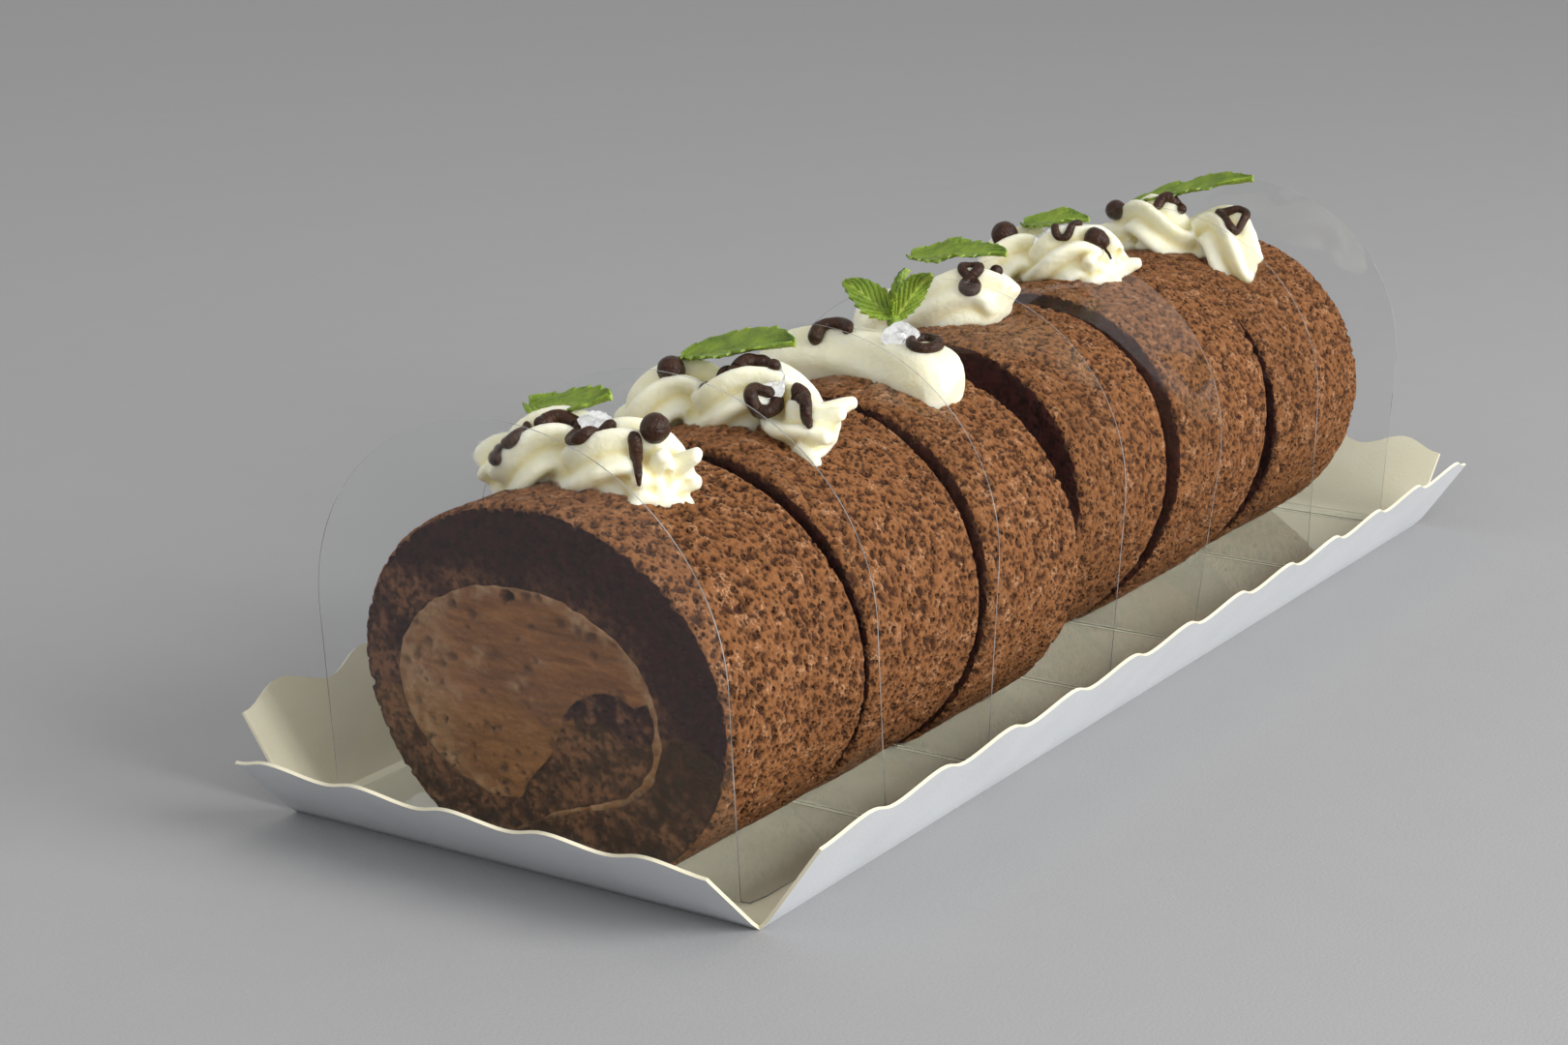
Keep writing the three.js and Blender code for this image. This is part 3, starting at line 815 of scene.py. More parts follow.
@dataclass(frozen=True)
class FilmEdgeFinish(Finish):
    """The film's cut edge: a thin grey-white line whose colour is a painted glint, brighter here and duller
    there.
    """

    dark: tuple = (0.2, 0.21, 0.22)
    light: tuple = (0.6, 0.61, 0.62)

    def build(self) -> bpy.types.Material:
        """Builds the material."""
        material, nodes, shader = self.start()
        # The grey-white tone stands in for light caught by the edge: a painted glint.
        tone = self.tone(nodes, self.dark, self.light, 120.0, 3.0)
        values = {
            "Base Color": tone.outputs["Color"],
            "Normal": self.relief(nodes, 900.0, 0.00005)[1],
            "Roughness": 0.12,
            "Transmission Weight": 0.5,
        }
        nodes.fill(shader, values)
        return material


@dataclass(frozen=True)
class CardFinish(Finish):
    """Smooth white card with a faint mottle and fibre; the cut edge is creamier. Its default beige is painted
    warm light bounced from the cake.
    """

    # The inside's beige is painted warm bounce light from the cake on white card.
    dark: tuple = (0.69, 0.66, 0.49)
    light: tuple = (0.77, 0.745, 0.6)
    roughness: float = 0.5

    def build(self) -> bpy.types.Material:
        """Builds the material."""
        material, nodes, shader = self.start()
        tone = self.tone(nodes, self.dark, self.light, 70.0, 1.4)
        values = {
            "Base Color": tone.outputs["Color"],
            "Normal": self.relief(nodes, 1600.0, 0.00006)[1],
            "Roughness": self.roughness,
            "Specular IOR Level": 0.4,
        }
        nodes.fill(shader, values)
        return material


# ---------------------------------------------------------------------------------------------
# Cake slices
# ---------------------------------------------------------------------------------------------


def slope(degrees: float) -> float:
    """Rise for each millimetre along, at an angle."""
    return math.tan(math.radians(degrees))


@dataclass(frozen=True)
class CutFace:
    """How a cut face leans back, in degrees. Above the height bend it leans by upper instead."""

    lean: float
    bend: float = 100.0
    upper: float = 0.0
    yaw: float = 0.0

    def back(self, x: np.ndarray, z: np.ndarray) -> np.ndarray:
        """How far back the face lies at x from the slice's middle and height z."""
        low = np.minimum(z, self.bend) * slope(self.lean)
        return low + np.maximum(z - self.bend, 0) * slope(self.upper) + x * slope(self.yaw)


@dataclass
class RollSection:
    """The roll's section about its middle: the sponge's oval, the filled middle, and the seam."""

    half_width: float = 38.2
    half_height: float = 34.0
    frame_sides: int = 34
    core_x: float = -3.0
    core_z: float = -1.0
    core_half_width: float = 27.3
    core_half_height: float = 20.0
    seam_width: float = 1.3
    curl: tuple = (
        (-6.0, -19.4), (-3.5, -15.5), (1.5, -10), (3.8, -4.8), (5.2, -0.9), (10, 2.2), (15.6, 2.9), (20, 1.6),
    )
    seam: tuple = (
        (22.8, 3.0), (23.7, -1.0), (23.6, -4), (22.2, -9.5), (18, -14.2), (11.5, -17.4), (4, -19.9),
        (-3, -23.2), (-7.5, -25.6),
    )

    def filling_line(self, step: float) -> np.ndarray:
        """The filling's outline, counter-clockwise: one side of the seam, the core, the curl, the other side.

        Args:
            step: Spacing of its points in millimetres.

        Returns:
            The closed outline.
        """
        line = spline(list(self.seam), 60)
        along = np.gradient(line, axis=0)
        along /= np.linalg.norm(along, axis=1)[:, None]
        taper = np.linspace(1, 0.3, 60)[:, None]
        side = np.column_stack([-along[:, 1], along[:, 0]]) * self.seam_width / 2 * taper
        angle = np.radians(np.linspace(22, 252, 80))
        core = np.column_stack([
            self.core_x + self.core_half_width * np.cos(angle),
            self.core_z + self.core_half_height * np.sin(angle),
        ])
        curl = spline(list(self.curl), 40)
        outline = np.vstack([(line + side)[::-1], core, curl, line - side])
        return evenly(outline, round(length_of(outline) / step), closed=True)


@dataclass
class CakeSlice:
    """One slice of the roll: sponge with its porous skin and two cut faces, and the filling in it."""

    number: int
    front: CutFace
    back: CutFace
    skin_step: float = 0.56
    face_step: float = 1.3
    edge_round: float = 0.75
    rim_width: float = 1.5
    large_pore: float = 2.1
    small_pore: float = 1.5
    section: RollSection = field(default_factory=RollSection)

    def __post_init__(self) -> None:
        """Takes the slice's place and size from its packed sponge."""
        low, high = box_of(f"sponge_{self.number}")
        self.x = (low[0] + high[0]) / 2
        self.size = (high[0] - low[0]) / (2 * self.section.half_width)
        flat = math.cos(math.pi / self.section.frame_sides)
        self.middle = high[2] - self.section.half_height * self.size * flat
        outline = self.outline(1.0)
        x, z = outline[:, 0] - self.x, outline[:, 1]
        self.front_y = low[1] - self.front.back(x, z).min()
        self.back_y = high[1] - self.back.back(x, z).max()

    def outline(self, step: float) -> np.ndarray:
        """The roll's outline, flattened where it rests, counter-clockwise from the flat's right end."""
        angle = np.linspace(-np.pi / 2, 1.5 * np.pi, 2000)
        oval = np.column_stack([
            self.x + self.section.half_width * self.size * np.cos(angle),
            self.middle + self.section.half_height * self.size * np.sin(angle),
        ])
        arc = oval[oval[:, 1] > CAKE_REST]
        return evenly(arc, round(length_of(arc) / step), closed=True)

    def depth_at(self, x: np.ndarray, z: np.ndarray) -> tuple[np.ndarray, np.ndarray]:
        """Where the front and the back face lie along the roll at given places of the section."""
        return self.front_y + self.front.back(x - self.x, z), self.back_y + self.back.back(x - self.x, z)

    def skin(self) -> tuple[np.ndarray, dict[str, np.ndarray], int]:
        """The skin as a grid of points from the front cut to the back cut.

        Returns:
            Its points, row by row, their values, and how many lie in a row.
        """
        line = self.outline(self.skin_step)
        out = outward(line, 4)
        columns = len(line)
        front, back = self.depth_at(line[:, 0], line[:, 1])
        rows = round(float(np.mean(back - front)) / self.skin_step) + 1
        t = np.linspace(0, 1, rows)[:, None]
        y = front + (back - front) * t
        run = np.arange(columns) * self.skin_step * np.ones((rows, 1))
        flat = np.column_stack([run.ravel(), y.ravel()])
        spots = np.column_stack([np.tile(line, (rows, 1))[:, 0], y.ravel(), np.tile(line, (rows, 1))[:, 1]])
        seed = 100 * self.number
        # Pores of two sizes, pulled out of round, between soft lumps.
        warp = 0.45 * np.column_stack([smooth_noise(spots, 1.6, seed + k) for k in (1, 2)])
        large = pits(flat + 0.6 * warp, self.large_pore, seed + 3, 0.6)
        small = pits(flat + 0.5 * warp, self.small_pore, seed + 7, 0.5)
        pore = np.maximum(large, small)
        lump = layered_noise(spots, 2.2, seed + 11)
        # The knife rounds the rim of each cut.
        near = np.minimum((back - front) * t, (back - front) * (1 - t)).ravel()
        rim = 1 - ease(0, self.rim_width, near)
        lift = 0.3 * smooth_noise(spots, 13.0, seed + 13) + 0.16 * lump
        lift = lift - 0.9 * large - 0.6 * small * (1 - large)
        lift += 0.07 * smooth_noise(spots, 0.7, seed + 15) - self.edge_round * rim**2 * (1 + 0.5 * lump)
        # The underside rests flat.
        level = np.tile(out[:, 1], rows)
        lift = np.where(level < -0.9, np.minimum(lift, 0) * 0.5, lift)
        points = spots.copy()
        points[:, 0] += lift * np.tile(out[:, 0], rows)
        points[:, 2] += lift * level
        ends = np.concatenate([np.arange(columns), np.arange(columns) + (rows - 1) * columns])
        points[ends, 1] += 0.36 * layered_noise(spots[ends], 1.6, seed + 19)
        points[:, 2] = np.maximum(points[:, 2], CAKE_REST)
        # pore sets the painted shade in the pores; ridge marks the raised lumps that get pale specks, partly
        # as a painted highlight.
        return points, {"pore": pore, "ridge": ease(-0.2, 0.6, lump) * (1 - pore)}, columns

    def relief(
        self, places: np.ndarray, seed: int, filled: np.ndarray
    ) -> tuple[np.ndarray, dict[str, np.ndarray]]:
        """How far a cut face stands out or is hollowed, and its values.

        Args:
            places: Places in the section, (N, 2).
            seed: Picks the pattern.
            filled: True where a place lies in the filling.

        Returns:
            The relief in millimetres and the values for the finishes.
        """
        local = places - (self.x, self.middle)
        spots = np.column_stack([places[:, 0], np.full(len(places), 7.0 * seed), places[:, 1]])
        # Streaks that the knife drew, soft patches and fine lumps.
        turn = math.radians(STREAK_ANGLE)
        along = local[:, 0] * math.cos(turn) - local[:, 1] * math.sin(turn)
        across = local[:, 0] * math.sin(turn) + local[:, 1] * math.cos(turn)
        drawn = np.column_stack([along / 5, across, spots[:, 1]])
        streak = layered_noise(drawn, 2.2, seed + 1)
        patch = layered_noise(spots, 9.0, seed + 2)
        low = ease(6, -18, local[:, 1])
        fine = layered_noise(spots, 2.0, seed + 4)
        # Pits and dark specks in the filling, with one hollow near its top, and the crumb's own pores. The
        # specks are dark crumbs; the pits, the hollow and the pores are darkened with painted shade.
        warped = places + 0.7 * np.column_stack([fine, streak])
        holes = pits(warped, 1.5, seed + 3, 0.75) * ease(0.1, 0.5, fine + 0.6 * low - 0.35)
        hollow = ease(1.5, 0.8, np.hypot(local[:, 0] + 5.5, (local[:, 1] - 17.2) * 1.2))
        specks = 0.6 * pits(warped, 2.6, seed + 5, 0.22)
        pore_filling = np.clip(np.maximum.reduce([holes, specks, hollow * 1.2]), 0, 1)
        crumb = pits(places, 1.3, seed + 7, 0.5)
        relief_filling = 0.3 * streak + 0.1 * patch + 0.12 * fine - 0.8 * pore_filling - 1.2 * hollow
        relief_sponge = 0.2 * layered_noise(spots, 1.5, seed + 8) - 0.4 * crumb
        # How far a place lies from the filled middle, whose edge is at 1, picks where the smears go.
        from_core = np.hypot(
            (local[:, 0] - self.section.core_x) / self.section.core_half_width,
            (local[:, 1] - self.section.core_z) / self.section.core_half_height,
        )
        close = ease(1.45, 0.95, from_core)
        below = ease(-6, -22, local[:, 1])
        left = ease(-24, -34, local[:, 0]) * ease(14, 4, local[:, 1])
        faded = ease(0.98, 1.08, from_core) * ease(-5, -16, local[:, 1])
        pore_filling = np.maximum(pore_filling, 0.75 * faded)
        curl = ease(1.12, 0.9, from_core)
        band = np.exp(-(((local[:, 1] - 10 + 0.2 * local[:, 0]) / 3.2) ** 2)) * ease(-22, -27, local[:, 0])
        # Filling smeared over the sponge: on the curl, round the middle, below it and at the left.
        smear = 0.75 * curl * ease(-0.15, 0.35, fine + 0.5 * patch) + 0.3 * close
        haze = ease(1.32, 1.0, from_core) * ease(-8, -22, local[:, 0]) * ease(-0.4, 0.4, patch + 0.6 * fine)
        smear += 0.8 * haze + 0.8 * below * ease(-0.35, 0.3, streak + 0.4 * fine) + 0.75 * left + 0.9 * band
        smear = np.clip(smear, 0, 1) * ease(-0.75, 0.25, patch + 0.6 * fine)
        # Paler patches in the filling, and a paler line along its edge.
        pale = ease(0.1, 0.6, patch + 0.5 * streak + 0.3 * fine)
        pale = pale + ease(0.86, 0.99, from_core) * ease(-0.4, 0.3, fine)
        pale += 0.7 * ease(-14, -26, local[:, 0])
        values = {
            "pore": np.where(filled, pore_filling, crumb),
            "smear": np.where(filled, np.clip(pale, 0, 1), smear),
        }
        return np.where(filled, relief_filling, relief_sponge), values

    def cut(
        self, outer: np.ndarray, inner: np.ndarray, step: float, seed: int
    ) -> tuple[np.ndarray, np.ndarray, np.ndarray]:
        """Fills the section with triangles that follow both outlines.

        Args:
            outer: The skin's outline at this cut.
            inner: The filling's outline.
            step: Spacing of the points between them.
            seed: Picks how they are scattered.

        Returns:
            The added points, the triangles, and which of them are filling. The triangles' numbers run
            through outer, inner and added.
        """
        # Scattered points on a triangular grid, kept clear of both outlines.
        low, high = outer.min(0), outer.max(0)
        rows, columns = np.meshgrid(
            np.arange(low[1], high[1], step * 0.866), np.arange(low[0], high[0], step), indexing="ij"
        )
        columns = columns + (np.arange(len(rows))[:, None] % 2) * step / 2
        spots = np.column_stack([columns.ravel(), rows.ravel()])
        draw = np.random.default_rng(seed)
        spots += draw.uniform(-0.25, 0.25, spots.shape) * step
        spots = spots[within(spots, outer)]
        spots = spots[nearest(spots, outer) > 0.55 * step]
        spots = spots[nearest(spots, inner) > 0.5 * step]
        given = np.vstack([outer, inner, spots])
        count, hole = len(outer), len(inner)
        edges = [(i, (i + 1) % count) for i in range(count)]
        edges += [(count + i, count + (i + 1) % hole) for i in range(hole)]
        # Points that the triangulation adds are numbered after the given ones.
        made = delaunay_2d_cdt([Vector(p) for p in given], edges, [], 0, 1e-5)
        points, triangles, source = made[0], np.array(made[2]), made[3]
        number = np.array([s[0] if s else -1 for s in source])
        extra = np.flatnonzero(number < 0)
        number[extra] = len(given) + np.arange(len(extra))
        whole = np.vstack([given, *[np.array([points[i]]) for i in extra]])
        triangles = number[triangles]
        middle = whole[triangles].mean(1)
        kept = within(middle, outer)
        triangles, middle = triangles[kept], middle[kept]
        # Every triangle turns the same way.
        a, b, c = (whole[triangles[:, k]] for k in range(3))
        area = (b[:, 0] - a[:, 0]) * (c[:, 1] - a[:, 1]) - (b[:, 1] - a[:, 1]) * (c[:, 0] - a[:, 0])
        triangles[area < 0] = triangles[area < 0][:, ::-1]
        return whole[count + hole:], triangles, within(middle, inner)

    def build(self, skin: bpy.types.Material, crumb: bpy.types.Material, filling: bpy.types.Material) -> None:
        """Builds and dresses the slice's sponge and filling."""
        grid, values, columns = self.skin()
        rows = len(grid) // columns
        line = self.section.filling_line(0.7) * self.size + (self.x, self.middle)
        ragged = np.column_stack([line[:, 0], np.full(len(line), 3.0 * self.number), line[:, 1]])
        curled = ease(-2, 3, line[:, 0] - self.x) * ease(5, 3, line[:, 1] - self.middle)
        wobble = 0.42 * layered_noise(ragged, 2.0, 40 + self.number)
        wobble += 0.5 * curled * smooth_noise(ragged, 3.2, 60 + self.number)
        line = line + outward(line, 2) * wobble[:, None]
        sponge = SpongeParts(grid, values, columns)
        inner_faces: list[list[list[int]]] = []
        filling_points: list[np.ndarray] = []
        filling_values: dict[str, list[np.ndarray]] = {"pore": [], "smear": []}
        filling_faces: list[list[int]] = []
        for side, sign in ((0, -1), (1, 1)):
            ring = grid[:columns] if side == 0 else grid[-columns:]
            seed = 500 + 20 * self.number + side
            added, triangles, filled = self.cut(ring[:, [0, 2]], line, self.face_step, seed)
            places = np.vstack([line, added])
            in_filling = np.zeros(len(places), bool)
            in_filling[np.unique(triangles[filled]) - columns] = True
            in_filling[: len(line)] = False
            depth = self.depth_at(places[:, 0], places[:, 1])[side]
            rise, its_values = self.relief(places, seed, in_filling)
            rise[: len(line)] = 0
            level = np.column_stack([places[:, 0], depth + sign * rise, places[:, 1]])
            first = columns * (rows - 1) if side else 0
            start = sponge.add_face(level, its_values, triangles[~filled], first, columns, flip=side == 1)
            inner_faces.append([start, start + len(line)])
            rise_in, values_in = self.relief(places, seed, np.ones(len(places), bool))
            rise_in[: len(line)] = 0.05
            offset = sum(len(p) for p in filling_points)
            filling_points.append(np.column_stack([places[:, 0], depth + sign * rise_in, places[:, 1]]))
            for key in filling_values:
                filling_values[key].append(values_in[key])
            turned = triangles[filled] - columns + offset
            filling_faces += (turned[:, ::-1] if side else turned).tolist()
        sponge.add_wall(inner_faces[0][0], inner_faces[1][0], len(line))
        back = len(filling_points[0])
        for i in range(len(line)):
            j = (i + 1) % len(line)
            filling_faces.append([i, back + i, back + j, j])
        body = sponge.make(f"slice_{self.number}_sponge")
        body.data.materials.append(skin)
        body.data.materials.append(crumb)
        place(body, Slot.SPONGE, f"sponge_{self.number}")
        merged = {key: np.concatenate(parts) for key, parts in filling_values.items()}
        core = make_mesh(f"slice_{self.number}_filling", np.vstack(filling_points), filling_faces, merged)
        drop_loose(core)
        core.data.materials.append(filling)
        place(core, Slot.FILLING, f"filling_{self.number}")


class SpongeParts:
    """Collects a slice's skin, cut faces and inner wall into one mesh."""

    def __init__(self, grid: np.ndarray, values: dict[str, np.ndarray], columns: int) -> None:
        """Starts with the skin.

        Args:
            grid: The skin's points, row by row.
            values: Its values.
            columns: Points in a row.
        """
        self.points = [grid]
        self.count = len(grid)
        blank = np.zeros(len(grid))
        self.values = {"pore": [values["pore"]], "ridge": [values["ridge"]], "smear": [blank]}
        skin = np.array(grid_faces(len(grid) // columns, columns, closed=True))
        self.faces = skin[:, ::-1].tolist()
        self.skin_faces = len(self.faces)

    def add_face(
        self,
        points: np.ndarray,
        values: dict[str, np.ndarray],
        triangles: np.ndarray,
        first: int,
        columns: int,
        flip: bool,
    ) -> int:
        """Adds a cut face.

        Args:
            points: The face's own points.
            values: Their values.
            triangles: Its triangles; numbers below columns are the skin's edge, the rest its own points.
            first: The skin's first vertex at this cut.
            columns: Points in the skin's edge.
            flip: Whether the face looks back.

        Returns:
            The number of its first own vertex.
        """
        start = self.count
        numbers = np.where(triangles < columns, triangles + first, triangles - columns + start)
        self.faces += (numbers[:, ::-1] if flip else numbers).tolist()
        self.points.append(points)
        self.count += len(points)
        self.values["pore"].append(values["pore"])
        self.values["ridge"].append(np.zeros(len(points)))
        self.values["smear"].append(values["smear"])
        return start

    def add_wall(self, front: int, back: int, count: int) -> None:
        """Joins the inner outlines of the two cut faces."""
        for i in range(count):
            j = (i + 1) % count
            self.faces.append([front + i, front + j, back + j, back + i])

    def make(self, name: str) -> bpy.types.Object:
        """Makes the mesh, with the skin in the first finish and the rest in the second."""
        values = {key: np.concatenate(parts) for key, parts in self.values.items()}
        piece = make_mesh(name, np.vstack(self.points), self.faces, values)
        finishes = np.ones(len(self.faces), np.int32)
        finishes[: self.skin_faces] = 0
        piece.data.polygons.foreach_set("material_index", finishes)
        drop_loose(piece)
        return piece


def drop_loose(piece: bpy.types.Object) -> None:
    """Removes points that no face uses."""
    body = bmesh.new()
    body.from_mesh(piece.data)
    bmesh.ops.delete(body, geom=[v for v in body.verts if not v.link_faces], context="VERTS")
    body.to_mesh(piece.data)
    body.free()


# ---------------------------------------------------------------------------------------------
# Piped cream
# ---------------------------------------------------------------------------------------------


@dataclass
class CreamRope:
    """A rope of cream piped across a slice with a star nozzle that circles as it goes."""

    number: int
    folds: float
    hand: int = 1
    start: float = 0.0
    nozzle: float = 0.76
    groove: float = 0.25
    end_groove: float = 0.4
    end_swell: float = 1.0
    end_drop: float = 0.0
    petals: int = 0
    petal_length: float = 4.5
    petal_tip: float = 0.75
    petal_root: int = 26
    blunt: int = 14
    twist: float = 2.6
    lobes: int = 6
    lift: float = 2.6
    voxel: float = 0.46
    steps: int = 260

    def axis(self, cake: CakeSlice, x: np.ndarray) -> tuple[np.ndarray, np.ndarray]:
        """The rope's middle line and its outward directions where it crosses the roll.

        Args:
            cake: The slice below.
            x: Places across the roll.

        Returns:
            The middle points and the directions.
        """
        low, high = box_of(f"cream_{self.number}")
        wide = cake.section.half_width * cake.size
        tall = cake.section.half_height * cake.size
        across = np.clip((x - cake.x) / wide, -0.95, 0.95)
        up = np.sqrt(1 - across**2)
        out = np.column_stack([across / wide, np.zeros(len(x)), up / tall])
        out /= np.linalg.norm(out, axis=1)[:, None]
        skin = np.column_stack([x, np.full(len(x), (low[1] + high[1]) / 2), cake.middle + tall * up])
        return skin + out * self.lift, out

    def build(self, cake: CakeSlice, finish: bpy.types.Material) -> bpy.types.Object:
        """Builds and dresses the rope.

        Args:
            cake: The slice that it lies on.
            finish: The cream's material.

        Returns:
            The piece.
        """
        low, high = box_of(f"cream_{self.number}")
        reach = (high[1] - low[1]) / 2
        nozzle = reach * self.nozzle
        sway = reach - nozzle
        t = np.linspace(0, 1, self.steps)
        x = low[0] + nozzle * 0.65 + (high[0] - low[0] - 1.2 * nozzle) * t
        middle, out = self.axis(cake, x)
        phase = 2 * np.pi * (self.folds * t + self.start) * self.hand
        # The nozzle circles about the middle line, less so at both ends.
        calm = ease(0, 0.12, t) * (1 - 0.5 * ease(0.88, 1.0, t))
        front = np.array([0.0, -1.0, 0.0])
        circling = np.cos(phase)[:, None] * out - np.sin(phase)[:, None] * front
        path = middle + sway * calm[:, None] * circling
        path -= out * (self.end_drop * ease(0.75, 1.0, t))[:, None]
        swell = 1 + (self.end_swell - 1) * ease(0.72, 0.92, t)
        radius = nozzle * swell * np.clip(1 - np.abs(2 * t - 1) ** self.blunt, 0.02, 1) ** 0.5
        groove = self.groove + (self.end_groove - self.groove) * ease(0.7, 0.95, t)
        rope = sweep(path, radius, 10 * self.lobes, self.lobes, groove, self.hand * self.twist * t)
        bodies = [rope, *self.petal_bodies(path, out[-1], nozzle)]
        piece = make_mesh(f"cream_rope_{self.number}", *joined(bodies))
        remesh = piece.modifiers.new("union", "REMESH")
        remesh.mode = "VOXEL"
        remesh.voxel_size = self.voxel * MM
        smooth = piece.modifiers.new("soften", "SMOOTH")
        smooth.iterations = 2
        applied(piece)
        self.finish_surface(piece, low, high)
        piece.data.materials.append(finish)
        place(piece, Slot.CREAM, f"cream_{self.number}")
        return piece

    def petal_bodies(
        self, path: np.ndarray, out: np.ndarray, nozzle: float
    ) -> list[tuple[np.ndarray, list[list[int]]]]:
        """The petals left where the nozzle lifts off, fanned round the rope's end.

        Args:
            path: The rope's middle line.
            out: The outward direction at its end.
            nozzle: The nozzle's half width.

        Returns:
            Points and faces of each petal.
        """
        ahead = path[-1] - path[-12]
        ahead /= np.linalg.norm(ahead)
        side = np.cross(ahead, (0.0, -1.0, 0.0))
        side /= np.linalg.norm(side)
        run = np.linspace(0, 1, 12)
        thick = 0.31 * nozzle
        bodies = []
        for k in range(self.petals):
            angle = 2 * np.pi * (k + 0.3) / self.petals
            radial = math.cos(angle) * side + math.sin(angle) * np.cross(ahead, side)
            root = path[-self.petal_root] + radial * nozzle * 0.5
            uneven = 1.0 + 0.2 * math.sin(2.4 * k)
            length = self.petal_length * uneven * (0.74 + 0.34 * float(radial @ out))
            tip = root + (radial * 0.75 + ahead * 0.8) * length
            line = root + (tip - root) * run[:, None]
            bodies.append(sweep(line, thick + (self.petal_tip - thick) * run**1.4, 12))
        return bodies

    def finish_surface(self, piece: bpy.types.Object, low: np.ndarray, high: np.ndarray) -> None:
        """Adds the fine ripple of whipped cream, keeps the rope in its box and marks its creases for their
        painted shade.
        """
        mesh = piece.data
        count = len(mesh.vertices)
        points = np.empty(count * 3)
        mesh.vertices.foreach_get("co", points)
        points = points.reshape(-1, 3) / MM
        normals = np.empty(count * 3)
        mesh.vertices.foreach_get("normal", normals)
        normals = normals.reshape(-1, 3)
        edges = np.empty(len(mesh.edges) * 2, np.int64)
        mesh.edges.foreach_get("vertices", edges)
        edges = edges.reshape(-1, 2)
        links = np.bincount(edges.ravel(), minlength=count)[:, None]

        def around(values: np.ndarray) -> np.ndarray:
            """Mean of each point's neighbours' values."""
            total = np.zeros_like(values)
            np.add.at(total, edges[:, 0], values[edges[:, 1]])
            np.add.at(total, edges[:, 1], values[edges[:, 0]])
            return total / links

        # How hollow each point lies, which sets the painted shade in the creases.
        crease_shade = np.einsum("ij,ij->i", around(points) - points, normals)[:, None]
        for _ in range(4):
            crease_shade = 0.5 * crease_shade + 0.5 * around(crease_shade)
        ripple = 0.13 * layered_noise(points, 2.6, 70 + self.number) + 0.05 * smooth_noise(points, 0.8, 80)
        points = np.clip(points + normals * ripple[:, None], low, high)
        mesh.vertices.foreach_set("co", (points * MM).ravel())
        fold = mesh.attributes.new("fold", "FLOAT", "POINT")
        fold.data.foreach_set("value", np.clip(crease_shade.ravel() / 0.035, 0, 1).astype(np.float32))
        mesh.polygons.foreach_set("use_smooth", np.ones(len(mesh.polygons), bool))
        mesh.update()


# ---------------------------------------------------------------------------------------------
# Toppings
# ---------------------------------------------------------------------------------------------


class Surface:
    """A cream rope's surface, for laying things on it."""

    sag: float = 1.7
    cast_from: float = 14
    cast_reach: float = 30

    def __init__(self, rope: bpy.types.Object, number: int) -> None:
        """Takes the rope's mesh.

        Args:
            rope: The rope.
            number: Its slice's number.
        """
        self.tree = BVHTree.FromPolygons(
            [v.co.copy() for v in rope.data.vertices], [tuple(p.vertices) for p in rope.data.polygons]
        )
        low, high = box_of(f"cream_{number}")
        self.heart = (low + high) / 2
        self.heart[2] = low[2] + 0.35 * (high[2] - low[2])

    def axes(self, spot: np.ndarray) -> tuple[np.ndarray, np.ndarray, np.ndarray]:
        """Right, back and outward directions on the rope at a spot."""
        out = spot - self.heart
        out[0] *= 0.25
        out /= np.linalg.norm(out)
        right = np.cross((0.0, 1.0, 0.0), out)
        right /= np.linalg.norm(right)
        return right, np.cross(out, right), out

    def laid(self, points: np.ndarray, out: np.ndarray, clear: float) -> np.ndarray:
        """Points moved along out so that they lie on the rope, clear of it by a distance.

        Args:
            points: Places in millimetres.
            out: The outward direction.
            clear: Height over the surface.

        Returns:
            The moved points.
        """
        heights = []
        for point in points:
            start = Vector((point + out * self.cast_from) * MM)
            hit = self.tree.ray_cast(start, Vector(-out), self.cast_reach * MM)[0]
            heights.append((np.array(hit) / MM - point).dot(out) if hit is not None else -9.0)
        level = np.array(heights)
        top = np.percentile(level, 70)
        level = np.clip(level, top - self.sag, top + self.sag)
        return points + out * (level + clear)[:, None]


class ChocolateShape(Enum):
    """Shapes the chocolate was drizzled in: points right and up the cream, half width, whether it closes."""

    ZIGZAG = (
        ((-3.4, 3.6), (-4.6, -0.6), (-3.8, -3.2), (-1.7, 0.4), (-0.4, -3.0), (1.6, -2.6), (3.4, 2.4)),
        1.15,
        False,
    )
    ARCH = (((-4.0, -1.6), (-2.8, 1.6), (0, 2.6), (2.8, 1.5), (4.0, -1.4)), 1.5, False)
    HOOK = (((-2.6, 2.4), (-3.0, -1.0), (-1.2, -3.0), (0.9, -1.9), (2.0, 0.8), (4.4, 2.2)), 1.1, False)
    STICK = (((-1.4, 3.0), (-0.2, 2.6), (0.4, 0.4), (1.0, -2.0), (1.5, -4.4)), 1.0, False)
    RING = (
        ((-2.6, 0), (-1.7, 2.1), (0.4, 2.7), (2.5, 1.4), (2.4, -1.1), (0.3, -2.6), (-1.9, -1.9)),
        1.05,
        True,
    )
    EIGHT = (
        (
            (0.2, 0.2), (-2.2, 2.0), (-0.2, 4.2), (2.2, 2.2),
            (0.1, 0.1), (-1.8, -1.7), (0.2, -3.8), (1.9, -1.7),
        ),
        1.0,
        True,
    )
    LOOP = (
        ((-3.2, 3.0), (-0.6, 3.8), (2.9, 3.1), (2.9, 0.6), (0.7, -4.2), (-1.2, -1.2), (-2.6, 1.0)),
        0.95,
        True,
    )
    CUP = (((-2.3, 1.4), (-1.5, -1.4), (0.9, -2.1), (2.4, -0.3), (1.8, 1.9), (-0.2, 1.6)), 1.25, True)
    BEAD = (((-2.6, 0.0), (0.0, 0.2), (2.6, 0.1)), 2.7, False)
    TAILED = (((-2.4, 0.6), (0.0, 0.5), (2.0, -0.2), (3.2, -2.2), (4.0, -4.2)), 2.4, False)


